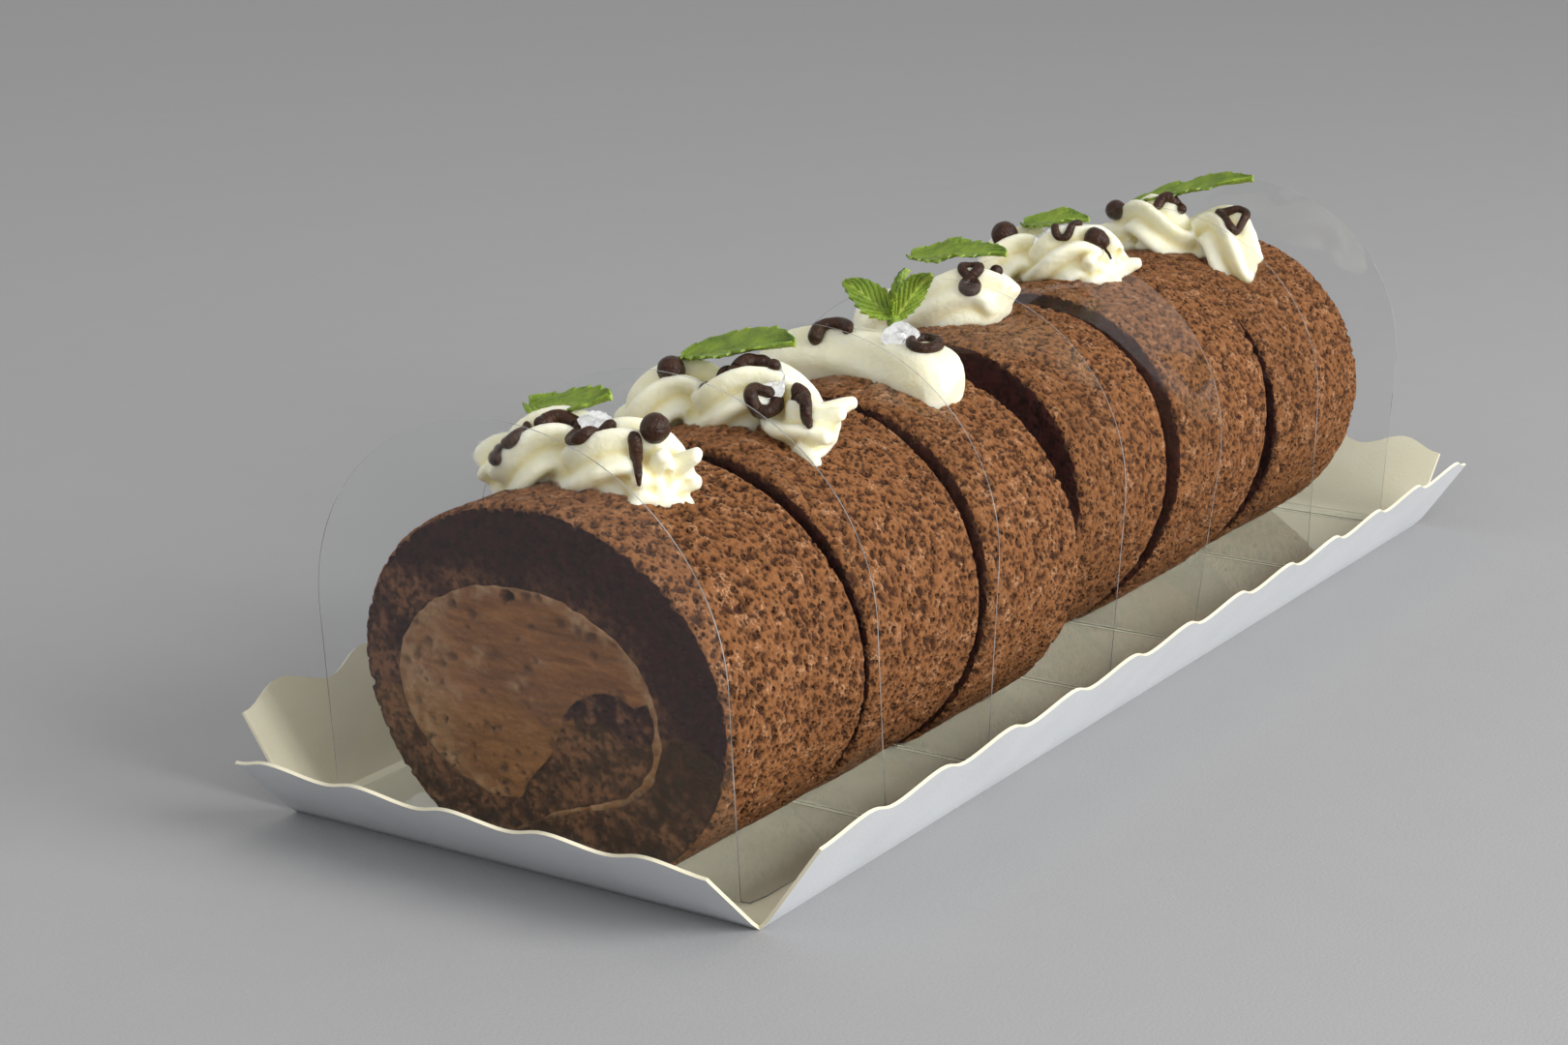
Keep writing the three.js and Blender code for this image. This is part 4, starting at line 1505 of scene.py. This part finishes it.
@dataclass(frozen=True)
class Chocolate:
    """One chocolate piece: its node's last name, shape, size, turn in degrees and shift to the right."""

    name: str
    shape: ChocolateShape
    scale: float = 1.0
    turn: float = 0.0
    shift: float = 0.0
    steps: int = 48
    sides: int = 18
    ring_sides: int = 16
    unevenness: float = 0.16

    def build(self, number: int, surface: Surface, finish: bpy.types.Material) -> None:
        """Builds and dresses the piece on a rope.

        Args:
            number: The slice's number.
            surface: The rope.
            finish: The chocolate's material.
        """
        node = f"chocolate_{number}_{self.name}"
        low, high = box_of(node)
        spot = (low + high) / 2 + (self.shift, 0, 0)
        right, back, out = surface.axes(spot)
        flat_points, half, closed = self.shape.value
        steps = self.steps
        flat = spline([tuple(p) for p in flat_points], steps, closed) * self.scale
        turn = math.radians(self.turn)
        u = flat[:, 0] * math.cos(turn) - flat[:, 1] * math.sin(turn)
        v = flat[:, 0] * math.sin(turn) + flat[:, 1] * math.cos(turn)
        route = spot + u[:, None] * right + v[:, None] * back
        if self.shape is ChocolateShape.BEAD:
            route += surface.laid(spot[None], out, half * self.scale * 0.5)[0] - spot
        else:
            route = surface.laid(route, out, half * self.scale * 0.45)
        smooth = np.ones(7) / 7
        kind = "wrap" if closed else "edge"
        for k in range(3):
            route[:, k] = np.convolve(np.pad(route[:, k], 3, mode=kind), smooth, "valid")
        seed = sum(map(ord, node))
        lump = smooth_noise(np.column_stack([np.arange(steps) * 0.6, np.zeros((steps, 2))]), 3.2, seed)
        if closed:
            lump *= ease(0, 8, np.minimum(np.arange(steps), steps - 1 - np.arange(steps)).astype(float))
            radius = half * self.scale * (1 + self.unevenness * lump)
            points, faces = self.ring(route, radius)
        else:
            points, faces = sweep(route, self.half_widths(half * self.scale, lump), self.sides)
        shake = np.column_stack([layered_noise(points, 2.0, seed + k) for k in range(3)])
        points = points + self.unevenness * shake
        piece = make_mesh(f"{self.shape.name.lower()}_{number}_{self.name}", points, faces)
        piece.data.materials.append(finish)
        place(piece, Slot.CHOCOLATE, node)

    def half_widths(self, half: float, lump: np.ndarray) -> np.ndarray:
        """Half widths along an open piece.

        Args:
            half: The line's half width.
            lump: How much thicker or thinner each place is, from -1 to 1.

        Returns:
            A half width for each place: even with round ends, tapered for a stick, and round for a bead,
            which may have a thin tail.
        """
        t = np.linspace(0, 1, self.steps)
        if self.shape is ChocolateShape.BEAD:
            return half * np.sqrt(np.maximum(1 - (2 * t - 1) ** 2, 0.004))
        if self.shape is ChocolateShape.TAILED:
            ball = np.sqrt(np.maximum(1 - (t / 0.27 - 1) ** 2, 0.004))
            return half * np.maximum(ball, 0.2 * (1 - 0.5 * t)) * (1 + 0.06 * lump)
        radius = round_ends(self.steps, half, 0.25) * (1 + self.unevenness * lump)
        if self.shape is ChocolateShape.STICK:
            radius *= 1.45 - 0.85 * ease(0.0, 0.8, t)
        return radius

    def ring(self, route: np.ndarray, radius: np.ndarray) -> tuple[np.ndarray, list[list[int]]]:
        """A closed wire along a closed route."""
        sides = self.ring_sides
        along = np.roll(route, -1, axis=0) - np.roll(route, 1, axis=0)
        along /= np.linalg.norm(along, axis=1)[:, None]
        normal = np.cross(route - route.mean(0), along).mean(0)
        normal /= np.linalg.norm(normal)
        u = normal - along * (along @ normal)[:, None]
        u /= np.linalg.norm(u, axis=1)[:, None]
        v = np.cross(along, u)
        angle = np.linspace(0, 2 * np.pi, sides, endpoint=False)
        ring = np.cos(angle)[None, :, None] * u[:, None] + np.sin(angle)[None, :, None] * v[:, None]
        points = (route[:, None] + radius[:, None, None] * ring).reshape(-1, 3)
        faces = []
        for i in range(len(route)):
            for k in range(sides):
                j, m = (i + 1) % len(route), (k + 1) % sides
                faces.append([i * sides + k, i * sides + m, j * sides + m, j * sides + k])
        return points, faces


@dataclass(frozen=True)
class Leaf:
    """A mint leaf from its stalk end to its tip, both as shares of its node's box."""

    start: tuple[float, float, float]
    tip: tuple[float, float, float]
    width: float
    roll: float
    teeth: int = 9
    belly: float = 1.5
    ragged: float = 0.2
    veins: int = 7
    thickness: float = 0.4
    rows: int = 60
    columns: int = 33

    def sheet(
        self, low: np.ndarray, high: np.ndarray, seed: int
    ) -> tuple[np.ndarray, list[list[int]], np.ndarray]:
        """The leaf as a thin sheet.

        Args:
            low: Lowest corner of its node's box.
            high: Highest corner.
            seed: Makes each leaf uneven in its own way.

        Returns:
            Its points, faces and how much of a vein each point is.
        """
        start = low + (high - low) * np.array(self.start)
        tip = low + (high - low) * np.array(self.tip)
        length = float(np.linalg.norm(tip - start))
        along = (tip - start) / length
        side = np.cross(along, (0, 0, 1))
        side /= np.linalg.norm(side)
        side = np.array(Matrix.Rotation(math.radians(self.roll), 3, Vector(along)) @ Vector(side))
        top = np.cross(side, along)
        u, v = np.meshgrid(np.linspace(0.0, 1, self.rows), np.linspace(-1, 1, self.columns), indexing="ij")
        oval = np.clip(np.sin(np.pi * np.clip(u * 0.97 + 0.02, 0, 1) ** 0.8), 0, 1)
        breadth = self.width / 2 * oval**0.72 + 0.12
        tooth = (u * self.teeth) % 1
        reach = v * breadth * (1 + (self.ragged * tooth - 0.4 * self.ragged) * np.abs(v) ** 5)
        lines = (u - 0.42 * np.abs(v)) * self.veins
        off = np.abs(lines - np.round(lines))
        rib = np.exp(-((v * breadth / 0.32) ** 2))
        branch = np.exp(-((off / 0.1) ** 2)) * (1 - np.abs(v) ** 6) * (u < 0.93)
        vein = np.maximum(rib, 0.8 * branch)
        spots = np.column_stack([(u * length).ravel(), reach.ravel(), np.zeros(u.size)])
        wave = smooth_noise(spots, 4.5, seed).reshape(u.shape)
        height = self.belly * np.sin(np.pi * u) - 0.3 * vein + 0.22 * (0.5 - 0.5 * np.cos(2 * np.pi * off))
        height += 0.1 * self.width * np.abs(v) ** 1.6 + 0.6 * wave * (0.35 + np.abs(v))
        height -= 0.4 * ease(0.7, 1.0, u) ** 2
        points = start + u[..., None] * length * along + reach[..., None] * side + height[..., None] * top
        return points.reshape(-1, 3), grid_faces(self.rows, self.columns), vein.ravel()


@dataclass(frozen=True)
class Mint:
    """The mint on one slice: one leaf, or a sprig of several on a short stalk."""

    number: int
    leaves: tuple[Leaf, ...]

    def build(self, finish: bpy.types.Material) -> None:
        """Builds and dresses the mint."""
        low, high = box_of(f"mint_{self.number}")
        sheets = [leaf.sheet(low, high, 900 + 10 * self.number + k) for k, leaf in enumerate(self.leaves)]
        points, faces = joined([(s[0], s[1]) for s in sheets])
        vein = np.concatenate([s[2] for s in sheets])
        piece = make_mesh(f"mint_leaf_{self.number}", points, faces, {"vein": vein})
        thicken(piece, self.leaves[0].thickness)
        if len(self.leaves) > 1:
            self.add_stalk(piece, low, high)
        piece.data.materials.append(finish)
        piece.data.polygons.foreach_set("use_smooth", np.ones(len(piece.data.polygons), bool))
        place(piece, Slot.MINT, f"mint_{self.number}")

    def add_stalk(self, piece: bpy.types.Object, low: np.ndarray, high: np.ndarray) -> None:
        """Joins a short stalk and bud under the sprig's leaves."""
        foot = low + (high - low) * np.array(self.leaves[0].start)
        line = foot + np.linspace(-1.6, 1.2, 10)[:, None] * np.array([[0.0, 0.1, 1.0]])
        stalk = make_mesh("stalk", *sweep(line, round_ends(10, 1.25), 14))
        with bpy.context.temp_override(active_object=piece, selected_editable_objects=[piece, stalk]):
            bpy.ops.object.join()


@dataclass(frozen=True)
class SilverFlake:
    """A crumpled flake of silver leaf: its place across the slice, how far forward, and its size."""

    number: int
    x: float
    forward: float
    size: float = 2.6
    thickness: float = 0.07
    rings: int = 15
    sides: int = 40

    def build(self, surface: Surface, finish: bpy.types.Material) -> None:
        """Builds and dresses the flake on a rope.

        Args:
            surface: The rope.
            finish: The silver's material.
        """
        spot = surface.heart + np.array([self.x - surface.heart[0], -self.forward, 9.0])
        right, back, out = surface.axes(spot)
        angles = np.linspace(0, 2 * np.pi, self.sides, endpoint=False)
        r, a = np.meshgrid(np.linspace(0.06, 1, self.rings), angles, indexing="ij")
        rim = np.column_stack([2 * np.cos(a[0]), 2 * np.sin(a[0]), np.full(self.sides, self.number)])
        reach = self.size * (1 + 0.4 * layered_noise(rim, 1.3, 33 + self.number))
        flat = np.stack([r * np.cos(a) * reach * 1.25, r * np.sin(a) * reach], axis=-1).reshape(-1, 2)
        spots = np.column_stack([flat, np.full(len(flat), 5.0 * self.number)])
        crumple = 1.1 * np.abs(smooth_noise(spots, 2.3, 51)) + 0.35 * np.abs(smooth_noise(spots, 1.1, 52))
        middle = surface.laid(spot[None], out, 0.9)[0]
        leaning = 0.75 * back + 0.65 * out
        sheet = middle + flat[:, :1] * right + flat[:, 1:] * leaning + crumple[:, None] * out
        faces = grid_faces(self.rings, self.sides, closed=True) + [list(range(self.sides))]
        piece = make_mesh(f"silver_flake_{self.number}", sheet, faces)
        piece.data.polygons.foreach_set("use_smooth", np.zeros(len(piece.data.polygons), bool))
        thicken(piece, self.thickness)
        piece.data.materials.append(finish)
        place(piece, Slot.SILVER)


# ---------------------------------------------------------------------------------------------
# Clear dividers
# ---------------------------------------------------------------------------------------------


@dataclass
class FilmDivider:
    """A clear divider: an arched upright that leans, folded at the floor into a foot that runs back."""

    number: int
    lean: float
    bow: float = 0.15
    half_width: float = 43.0
    straight: float = 37.3
    arch: float = 39.8
    foot_half_width: float = 44.8
    foot_corner: float = 6.0
    fold: float = 0.1
    bend: float = 1.1
    columns: int = 25

    def base(self) -> tuple[float, float]:
        """Where the upright leaves the floor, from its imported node: across and along."""
        low, high = box_of(f"film_{self.number}")
        top = (self.straight + self.arch) * math.sin(math.radians(self.lean))
        return (low[0] + high[0]) / 2, low[1] - min(top, -self.fold)

    def build(self, end: float, finish: bpy.types.Material, edge: bpy.types.Material) -> None:
        """Builds and dresses the divider.

        Args:
            end: Where its foot ends, along the case.
            finish: The film's material.
            edge: The cut edge's material.
        """
        x, y = self.base()
        y += FILM_THICKNESS / 2
        floor = FILM_TOP - FILM_THICKNESS / 2
        lean = math.radians(self.lean)
        rows: list[tuple[float, float, float, float]] = []
        for depth in np.linspace(end - y, self.bend, 12):
            corner = min(self.foot_corner, max(depth, 0))
            spread = math.sqrt(max(0.0, 1 - (1 - corner / self.foot_corner) ** 2))
            half = self.half_width + (self.foot_half_width - self.half_width) * spread
            rows.append((depth, 0.0, half, 0.0))
        for s in np.linspace(0, 1, 7)[1:-1]:
            start, stop = (1 - s) ** 2, s**2
            along = start * self.bend + stop * self.bend * math.sin(lean)
            rows.append((along, stop * self.bend * math.cos(lean), self.half_width, 0.0))
        for height in np.linspace(self.bend, self.straight, 10):
            rows.append((height * math.sin(lean), height * math.cos(lean), self.half_width, height))
        for angle in np.radians(np.linspace(2, 89.2, 44)):
            height = self.straight + self.arch * math.sin(angle)
            half = self.half_width * math.cos(angle)
            rows.append((height * math.sin(lean), height * math.cos(lean), half, height))
        across = np.linspace(-1, 1, self.columns)
        full = self.straight + self.arch
        grid = []
        for along, up, half, height in rows:
            curve = self.bow * math.sin(math.pi * min(height / full, 1)) * (1 - across**2)
            level = np.full(self.columns, floor + up)
            grid.append(np.column_stack([x + across * half, y + along + curve, level]))
        piece = make_mesh(f"film_divider_{self.number}", np.vstack(grid), grid_faces(len(grid), self.columns))
        piece.data.materials.append(finish)
        piece.data.materials.append(edge)
        thicken(piece, FILM_THICKNESS, rim_finish=1)
        place(piece, Slot.FILM, f"film_{self.number}")


# ---------------------------------------------------------------------------------------------
# Card case
# ---------------------------------------------------------------------------------------------


@dataclass
class CardCase:
    """The folded card case: a floor and four sloping flaps with a scalloped edge, from one sheet."""

    width: float = 98.8
    length: float = 276.9
    flap: float = 20.0
    rise: float = 3.4
    side_slope: float = 54.9
    end_slope: float = 43.6
    side_scallops: int = 12
    end_scallops: int = 5
    points_per_scallop: int = 12
    flap_rows: int = 8
    fold_radius: float = 0.8

    def flap_point(self, run: float, slope_angle: float) -> tuple[float, float]:
        """Outward and upward distance from the fold line after a run along the flap."""
        angle = math.radians(slope_angle)
        arc = self.fold_radius * angle
        if run < arc:
            part = run / self.fold_radius
            return self.fold_radius * math.sin(part), self.fold_radius * (1 - math.cos(part))
        rest = run - arc
        out = self.fold_radius * math.sin(angle) + rest * math.cos(angle)
        return out, self.fold_radius * (1 - math.cos(angle)) + rest * math.sin(angle)

    def build(self, card: bpy.types.Material, edge: bpy.types.Material, outside: bpy.types.Material) -> None:
        """Builds and dresses the case.

        Args:
            card: The material of the sheet's inside, beige with painted warm bounce light.
            edge: The cut edge's material.
            outside: The material of its outside, grey-blue and darker with painted cool light and shade.
        """
        nx = self.end_scallops * self.points_per_scallop + 1
        ny = self.side_scallops * self.points_per_scallop + 1
        xs = np.linspace(-self.width / 2, self.width / 2, nx)
        ys = np.linspace(-self.length / 2, self.length / 2, ny)
        level = CARD_THICKNESS / 2
        gx, gy = np.meshgrid(xs, ys)
        points = [np.column_stack([gx.ravel(), gy.ravel(), np.full(gx.size, level)])]
        faces = grid_faces(ny, nx)
        count = gx.size
        flaps = (
            (np.arange(nx), (0, -1), self.end_slope),
            ((ny - 1) * nx + np.arange(nx)[::-1], (0, 1), self.end_slope),
            (np.arange(ny)[::-1] * nx, (-1, 0), self.side_slope),
            (np.arange(ny) * nx + nx - 1, (1, 0), self.side_slope),
        )
        for fold_line, (ox, oy), angle in flaps:
            base = points[0][fold_line]
            steps = len(fold_line)
            before = fold_line
            turn = np.arange(steps) / self.points_per_scallop
            tall = self.flap + self.rise * (1 - np.cos(2 * np.pi * turn)) / 2
            sway = 0.5 * smooth_noise(np.column_stack([base[:, :2], np.full(steps, 9.0 * ox + oy)]), 60.0, 5)
            for row in range(1, self.flap_rows + 1):
                share = row / self.flap_rows
                run = np.array([self.flap_point(share * h, angle) for h in tall])
                bow = sway * share**2 * np.sin(np.pi * np.arange(steps) / (steps - 1))
                out = run[:, 0] + bow * math.sin(math.radians(angle))
                up = run[:, 1] - bow * math.cos(math.radians(angle))
                points.append(base + np.column_stack([out * ox, out * oy, up]))
                now = count + np.arange(steps)
                for i in range(steps - 1):
                    faces.append([int(before[i]), int(now[i]), int(now[i + 1]), int(before[i + 1])])
                before = now
                count += steps
        piece = make_mesh("card_case", np.vstack(points), faces)
        piece.data.materials.append(card)
        piece.data.materials.append(edge)
        piece.data.materials.append(outside)
        thicken(piece, CARD_THICKNESS, rim_finish=1, back_finish=2, even=True)
        place(piece, Slot.CARD, "paper_case")


# ---------------------------------------------------------------------------------------------
# Studio
# ---------------------------------------------------------------------------------------------


@dataclass
class Studio:
    """A plain pale floor, soft lamps and the camera."""

    eye: tuple[float, float, float] = (299.95, -511.38, 196.14)
    azimuth: float = 33.312
    elevation: float = 15.918
    roll: float = -0.552
    lens: float = 69.42
    floor_tone: tuple[float, float, float] = (0.36, 0.365, 0.38)
    warm_white: tuple[float, float, float] = (1.0, 0.985, 0.96)
    brightness: float = 0.62
    floor_reach: float = 6000.0
    floor_drop: float = -0.05

    def camera(self) -> None:
        """Places the camera."""
        a, e, r = (math.radians(v) for v in (self.azimuth, self.elevation, self.roll))
        ahead = Vector((-math.sin(a) * math.cos(e), math.cos(a) * math.cos(e), -math.sin(e)))
        level = ahead.cross(Vector((0, 0, 1))).normalized()
        above = level.cross(ahead)
        right = math.cos(r) * level + math.sin(r) * above
        up = -math.sin(r) * level + math.cos(r) * above
        data = bpy.data.cameras.new("camera")
        data.sensor_width = 36.0
        data.lens = self.lens
        data.clip_start, data.clip_end = 0.01, 20.0
        camera = bpy.data.objects.new("camera", data)
        turn = Matrix((right, up, -ahead)).transposed()
        camera.matrix_world = Matrix.Translation(Vector(self.eye) * MM) @ turn.to_4x4()
        bpy.context.scene.collection.objects.link(camera)
        bpy.context.scene.camera = camera

    def lamp(self, name: str, spot: tuple, size: float, power: float, colour: tuple) -> None:
        """Adds a soft square lamp that looks at the cake.

        Args:
            name: The lamp's name.
            spot: Its place in metres.
            size: Its side in metres.
            power: In watts.
            colour: Its colour.
        """
        data = bpy.data.lights.new(name, "AREA")
        data.size, data.energy, data.color = size, power, colour
        lamp = bpy.data.objects.new(name, data)
        lamp.location = spot
        aim = Vector((0, 0, 0.03)) - Vector(spot)
        lamp.rotation_mode = "QUATERNION"
        lamp.rotation_quaternion = aim.to_track_quat("-Z", "Y")
        bpy.context.scene.collection.objects.link(lamp)

    def build(self, groups: dict[str, bpy.types.NodeTree]) -> None:
        """Builds the floor, the lamps, the surroundings and the camera."""
        signs = ((-1, -1), (1, -1), (1, 1), (-1, 1))
        corners = np.array([(self.floor_reach * x, self.floor_reach * y, self.floor_drop) for x, y in signs])
        floor = make_mesh("studio_floor", corners, [[0, 1, 2, 3]])
        pale = tuple(1.03 * v for v in self.floor_tone)
        floor.data.materials.append(CardFinish("Studio floor", groups, self.floor_tone, pale, 0.8).build())
        self.lamp("window", (1.15, 0.0, 0.48), 0.7, 18.0, (1.0, 0.985, 0.95))
        self.lamp("soft front", (-0.5, -1.2, 0.9), 1.2, 3.0, (1.0, 0.98, 0.96))
        world = bpy.data.worlds.new("studio")
        world.use_nodes = True
        bpy.context.scene.world = world
        back = world.node_tree.nodes["Background"]
        back.inputs["Color"].default_value = (*self.warm_white, 1)
        back.inputs["Strength"].default_value = self.brightness
        bpy.context.scene.view_settings.view_transform = "Standard"
        self.camera()


# ---------------------------------------------------------------------------------------------
# The whole cake
# ---------------------------------------------------------------------------------------------

SLICES = (
    CakeSlice(1, CutFace(-4), CutFace(-4.4), skin_step=0.41, face_step=0.62),
    CakeSlice(2, CutFace(-4.1, 34, 0), CutFace(5.5), skin_step=0.43),
    CakeSlice(3, CutFace(5.6, 28, 10), CutFace(1.2, yaw=-4.3), skin_step=0.45),
    CakeSlice(4, CutFace(13.0), CutFace(16.7)),
    CakeSlice(5, CutFace(17.0), CutFace(20.0)),
    CakeSlice(6, CutFace(5.1), CutFace(8.5)),
)

ROPES = (
    CreamRope(
        1, 2.6, groove=0.42, end_groove=0.5, end_drop=1.4,
        petals=8, petal_length=5.8, petal_tip=1.2, twist=3.6,
    ),
    CreamRope(
        2, 2.8, groove=0.42, end_groove=0.5, end_drop=1.2,
        petals=8, petal_length=6.0, petal_tip=1.1, start=0.2,
    ),
    CreamRope(
        3, 0.8, groove=0.08, end_groove=0.05, nozzle=0.78,
        end_swell=1.25, end_drop=3.4, twist=0.8, blunt=7,
    ),
    CreamRope(4, 1.2, groove=0.22, end_groove=0.26, nozzle=0.74, twist=1.4, end_drop=1.0, blunt=26),
    CreamRope(5, 2.2, groove=0.4, end_groove=0.45, petals=5, petal_length=5.4, petal_tip=1.1, start=0.4),
    CreamRope(6, 2.2, hand=-1, groove=0.4, end_groove=0.4, nozzle=0.72, end_drop=2.2, start=0.3, twist=3.4),
)

FILMS = (
    FilmDivider(0, -4, bow=-0.9),
    FilmDivider(1, -4.2),
    FilmDivider(2, 5.6),
    FilmDivider(3, 8.5),
    FilmDivider(4, 16.85),
    FilmDivider(5, 4.4),
    FilmDivider(6, 8.8, bow=0.8),
)

CHOCOLATES = (
    (
        Chocolate("zigzag", ChocolateShape.ZIGZAG, 0.95, 28, 5.0),
        Chocolate("arc", ChocolateShape.ARCH, 0.9, 20, 4.5),
        Chocolate("hook", ChocolateShape.HOOK, 1.0, 22, 4.0),
        Chocolate("bead", ChocolateShape.BEAD, 0.96, 0, -2.0),
        Chocolate("stick", ChocolateShape.STICK, 1.05, 34, 4.0),
    ),
    (
        Chocolate("bead_left", ChocolateShape.BEAD, 1.0, 50, 5.0),
        Chocolate("bead_mid", ChocolateShape.HOOK, 0.75, 10, 4.0),
        Chocolate("arc", ChocolateShape.ARCH, 1.0, 15, 3.5),
        Chocolate("cup", ChocolateShape.CUP, 1.0, 20, 4.0),
        Chocolate("stick", ChocolateShape.STICK, 1.4, 36, -1.5),
    ),
    (
        Chocolate("arc", ChocolateShape.ARCH, 0.95, 15, -3.0),
        Chocolate("ring", ChocolateShape.RING, 1.0, 0, -1.5),
    ),
    (
        Chocolate("arc", ChocolateShape.ARCH, 1.0, 15, 2.0),
        Chocolate("eight", ChocolateShape.EIGHT, 1.0, 28, 4.0),
        Chocolate("bead", ChocolateShape.BEAD, 0.55, 0, 6.0),
    ),
    (
        Chocolate("bead_left", ChocolateShape.BEAD, 1.15, 20, 5.0),
        Chocolate("bead_mid", ChocolateShape.HOOK, 0.8, 20, 3.0),
        Chocolate("bead_right", ChocolateShape.TAILED, 1.05, 25, 1.5),
    ),
    (
        Chocolate("bead_left", ChocolateShape.BEAD, 0.9),
        Chocolate("bead_mid", ChocolateShape.ARCH, 0.8, 10, 2.5),
        Chocolate("loop", ChocolateShape.LOOP, 1.0, 28, 2.0),
    ),
)

MINTS = (
    Mint(1, (Leaf((-0.1, 0.5, 0.04), (0.86, 0.5, 0.64), 8.6, 18, teeth=5, belly=-0.6, ragged=0.34),)),
    Mint(2, (Leaf((0.02, 0.5, 0.03), (0.98, 0.5, 0.72), 12.0, 12, teeth=10, belly=0.5),)),
    Mint(3, (
        Leaf((0.56, 0.45, 0.1), (0.04, 0.4, 0.66), 6.2, -40, teeth=7, belly=0.8),
        Leaf((0.56, 0.45, 0.1), (0.96, 0.45, 0.95), 5.4, -45, teeth=8, belly=0.8),
        Leaf((0.56, 0.5, 0.1), (0.62, 0.85, 0.9), 4.8, -30, teeth=6, belly=0.6),
    )),
    Mint(4, (Leaf((0.02, 0.5, 0.03), (0.98, 0.5, 0.58), 9.6, 14, belly=0.3, ragged=0.28),)),
    Mint(5, (Leaf((0.02, 0.5, 0.15), (0.98, 0.5, 0.7), 8.0, 12, teeth=7, belly=0.3),)),
    Mint(6, (Leaf((0.02, 0.5, 0.02), (0.98, 0.5, 0.78), 9.5, 12, teeth=11, belly=0.4),)),
)

FLAKES = (
    SilverFlake(1, 4.8, 1.5),
    SilverFlake(2, 9.3, 2.0, 2.9),
    SilverFlake(3, 9.6, 2.5, 3.0),
    SilverFlake(5, -9.9, 2.5, 2.7),
)


def main() -> None:
    """Builds every piece in order, and the stage."""
    logging.basicConfig(level=logging.INFO, format="%(message)s")
    groups = {"tone": tone_group(), "grain": grain_group()}
    skin = SkinFinish("Sponge skin", groups).build()
    crumb = CrumbFinish("Cut crumb", groups).build()
    filling = FillingFinish("Milk chocolate cream", groups).build()
    cream = CreamFinish("Whipped cream", groups).build()
    chocolate = ChocolateFinish("Dark chocolate", groups).build()
    mint = MintFinish("Mint leaf", groups).build()
    silver = SilverFinish("Silver leaf", groups).build()
    film = FilmFinish("Clear film", groups).build()
    film_edge = FilmEdgeFinish("Cut film edge", groups).build()
    # One white card in two painted lights: warm bounce from the cake inside, cool grey-blue light and shade
    # outside.
    card = CardFinish("White card", groups).build()
    edge = CardFinish("Cut card edge", groups, (0.72, 0.67, 0.5), (0.84, 0.8, 0.64), 0.7).build()
    outside = CardFinish("Outer card", groups, (0.54, 0.56, 0.59), (0.62, 0.64, 0.67)).build()
    CardCase().build(card, edge, outside)
    starts = [divider.base()[1] for divider in FILMS]
    ends = [start - GAP - FILM_THICKNESS for start in starts[1:]] + [CardCase.length / 2 - 1]
    for divider, end in zip(FILMS, ends):
        divider.build(end, film, film_edge)
    flakes = {flake.number: flake for flake in FLAKES}
    for cake, rope, pieces, leaves in zip(SLICES, ROPES, CHOCOLATES, MINTS):
        cake.build(skin, crumb, filling)
        surface = Surface(rope.build(cake, cream), cake.number)
        for piece in pieces:
            piece.build(cake.number, surface, chocolate)
        leaves.build(mint)
        if cake.number in flakes:
            flakes[cake.number].build(surface, silver)
    Studio().build(groups)


if __name__ == "__main__":
    main()
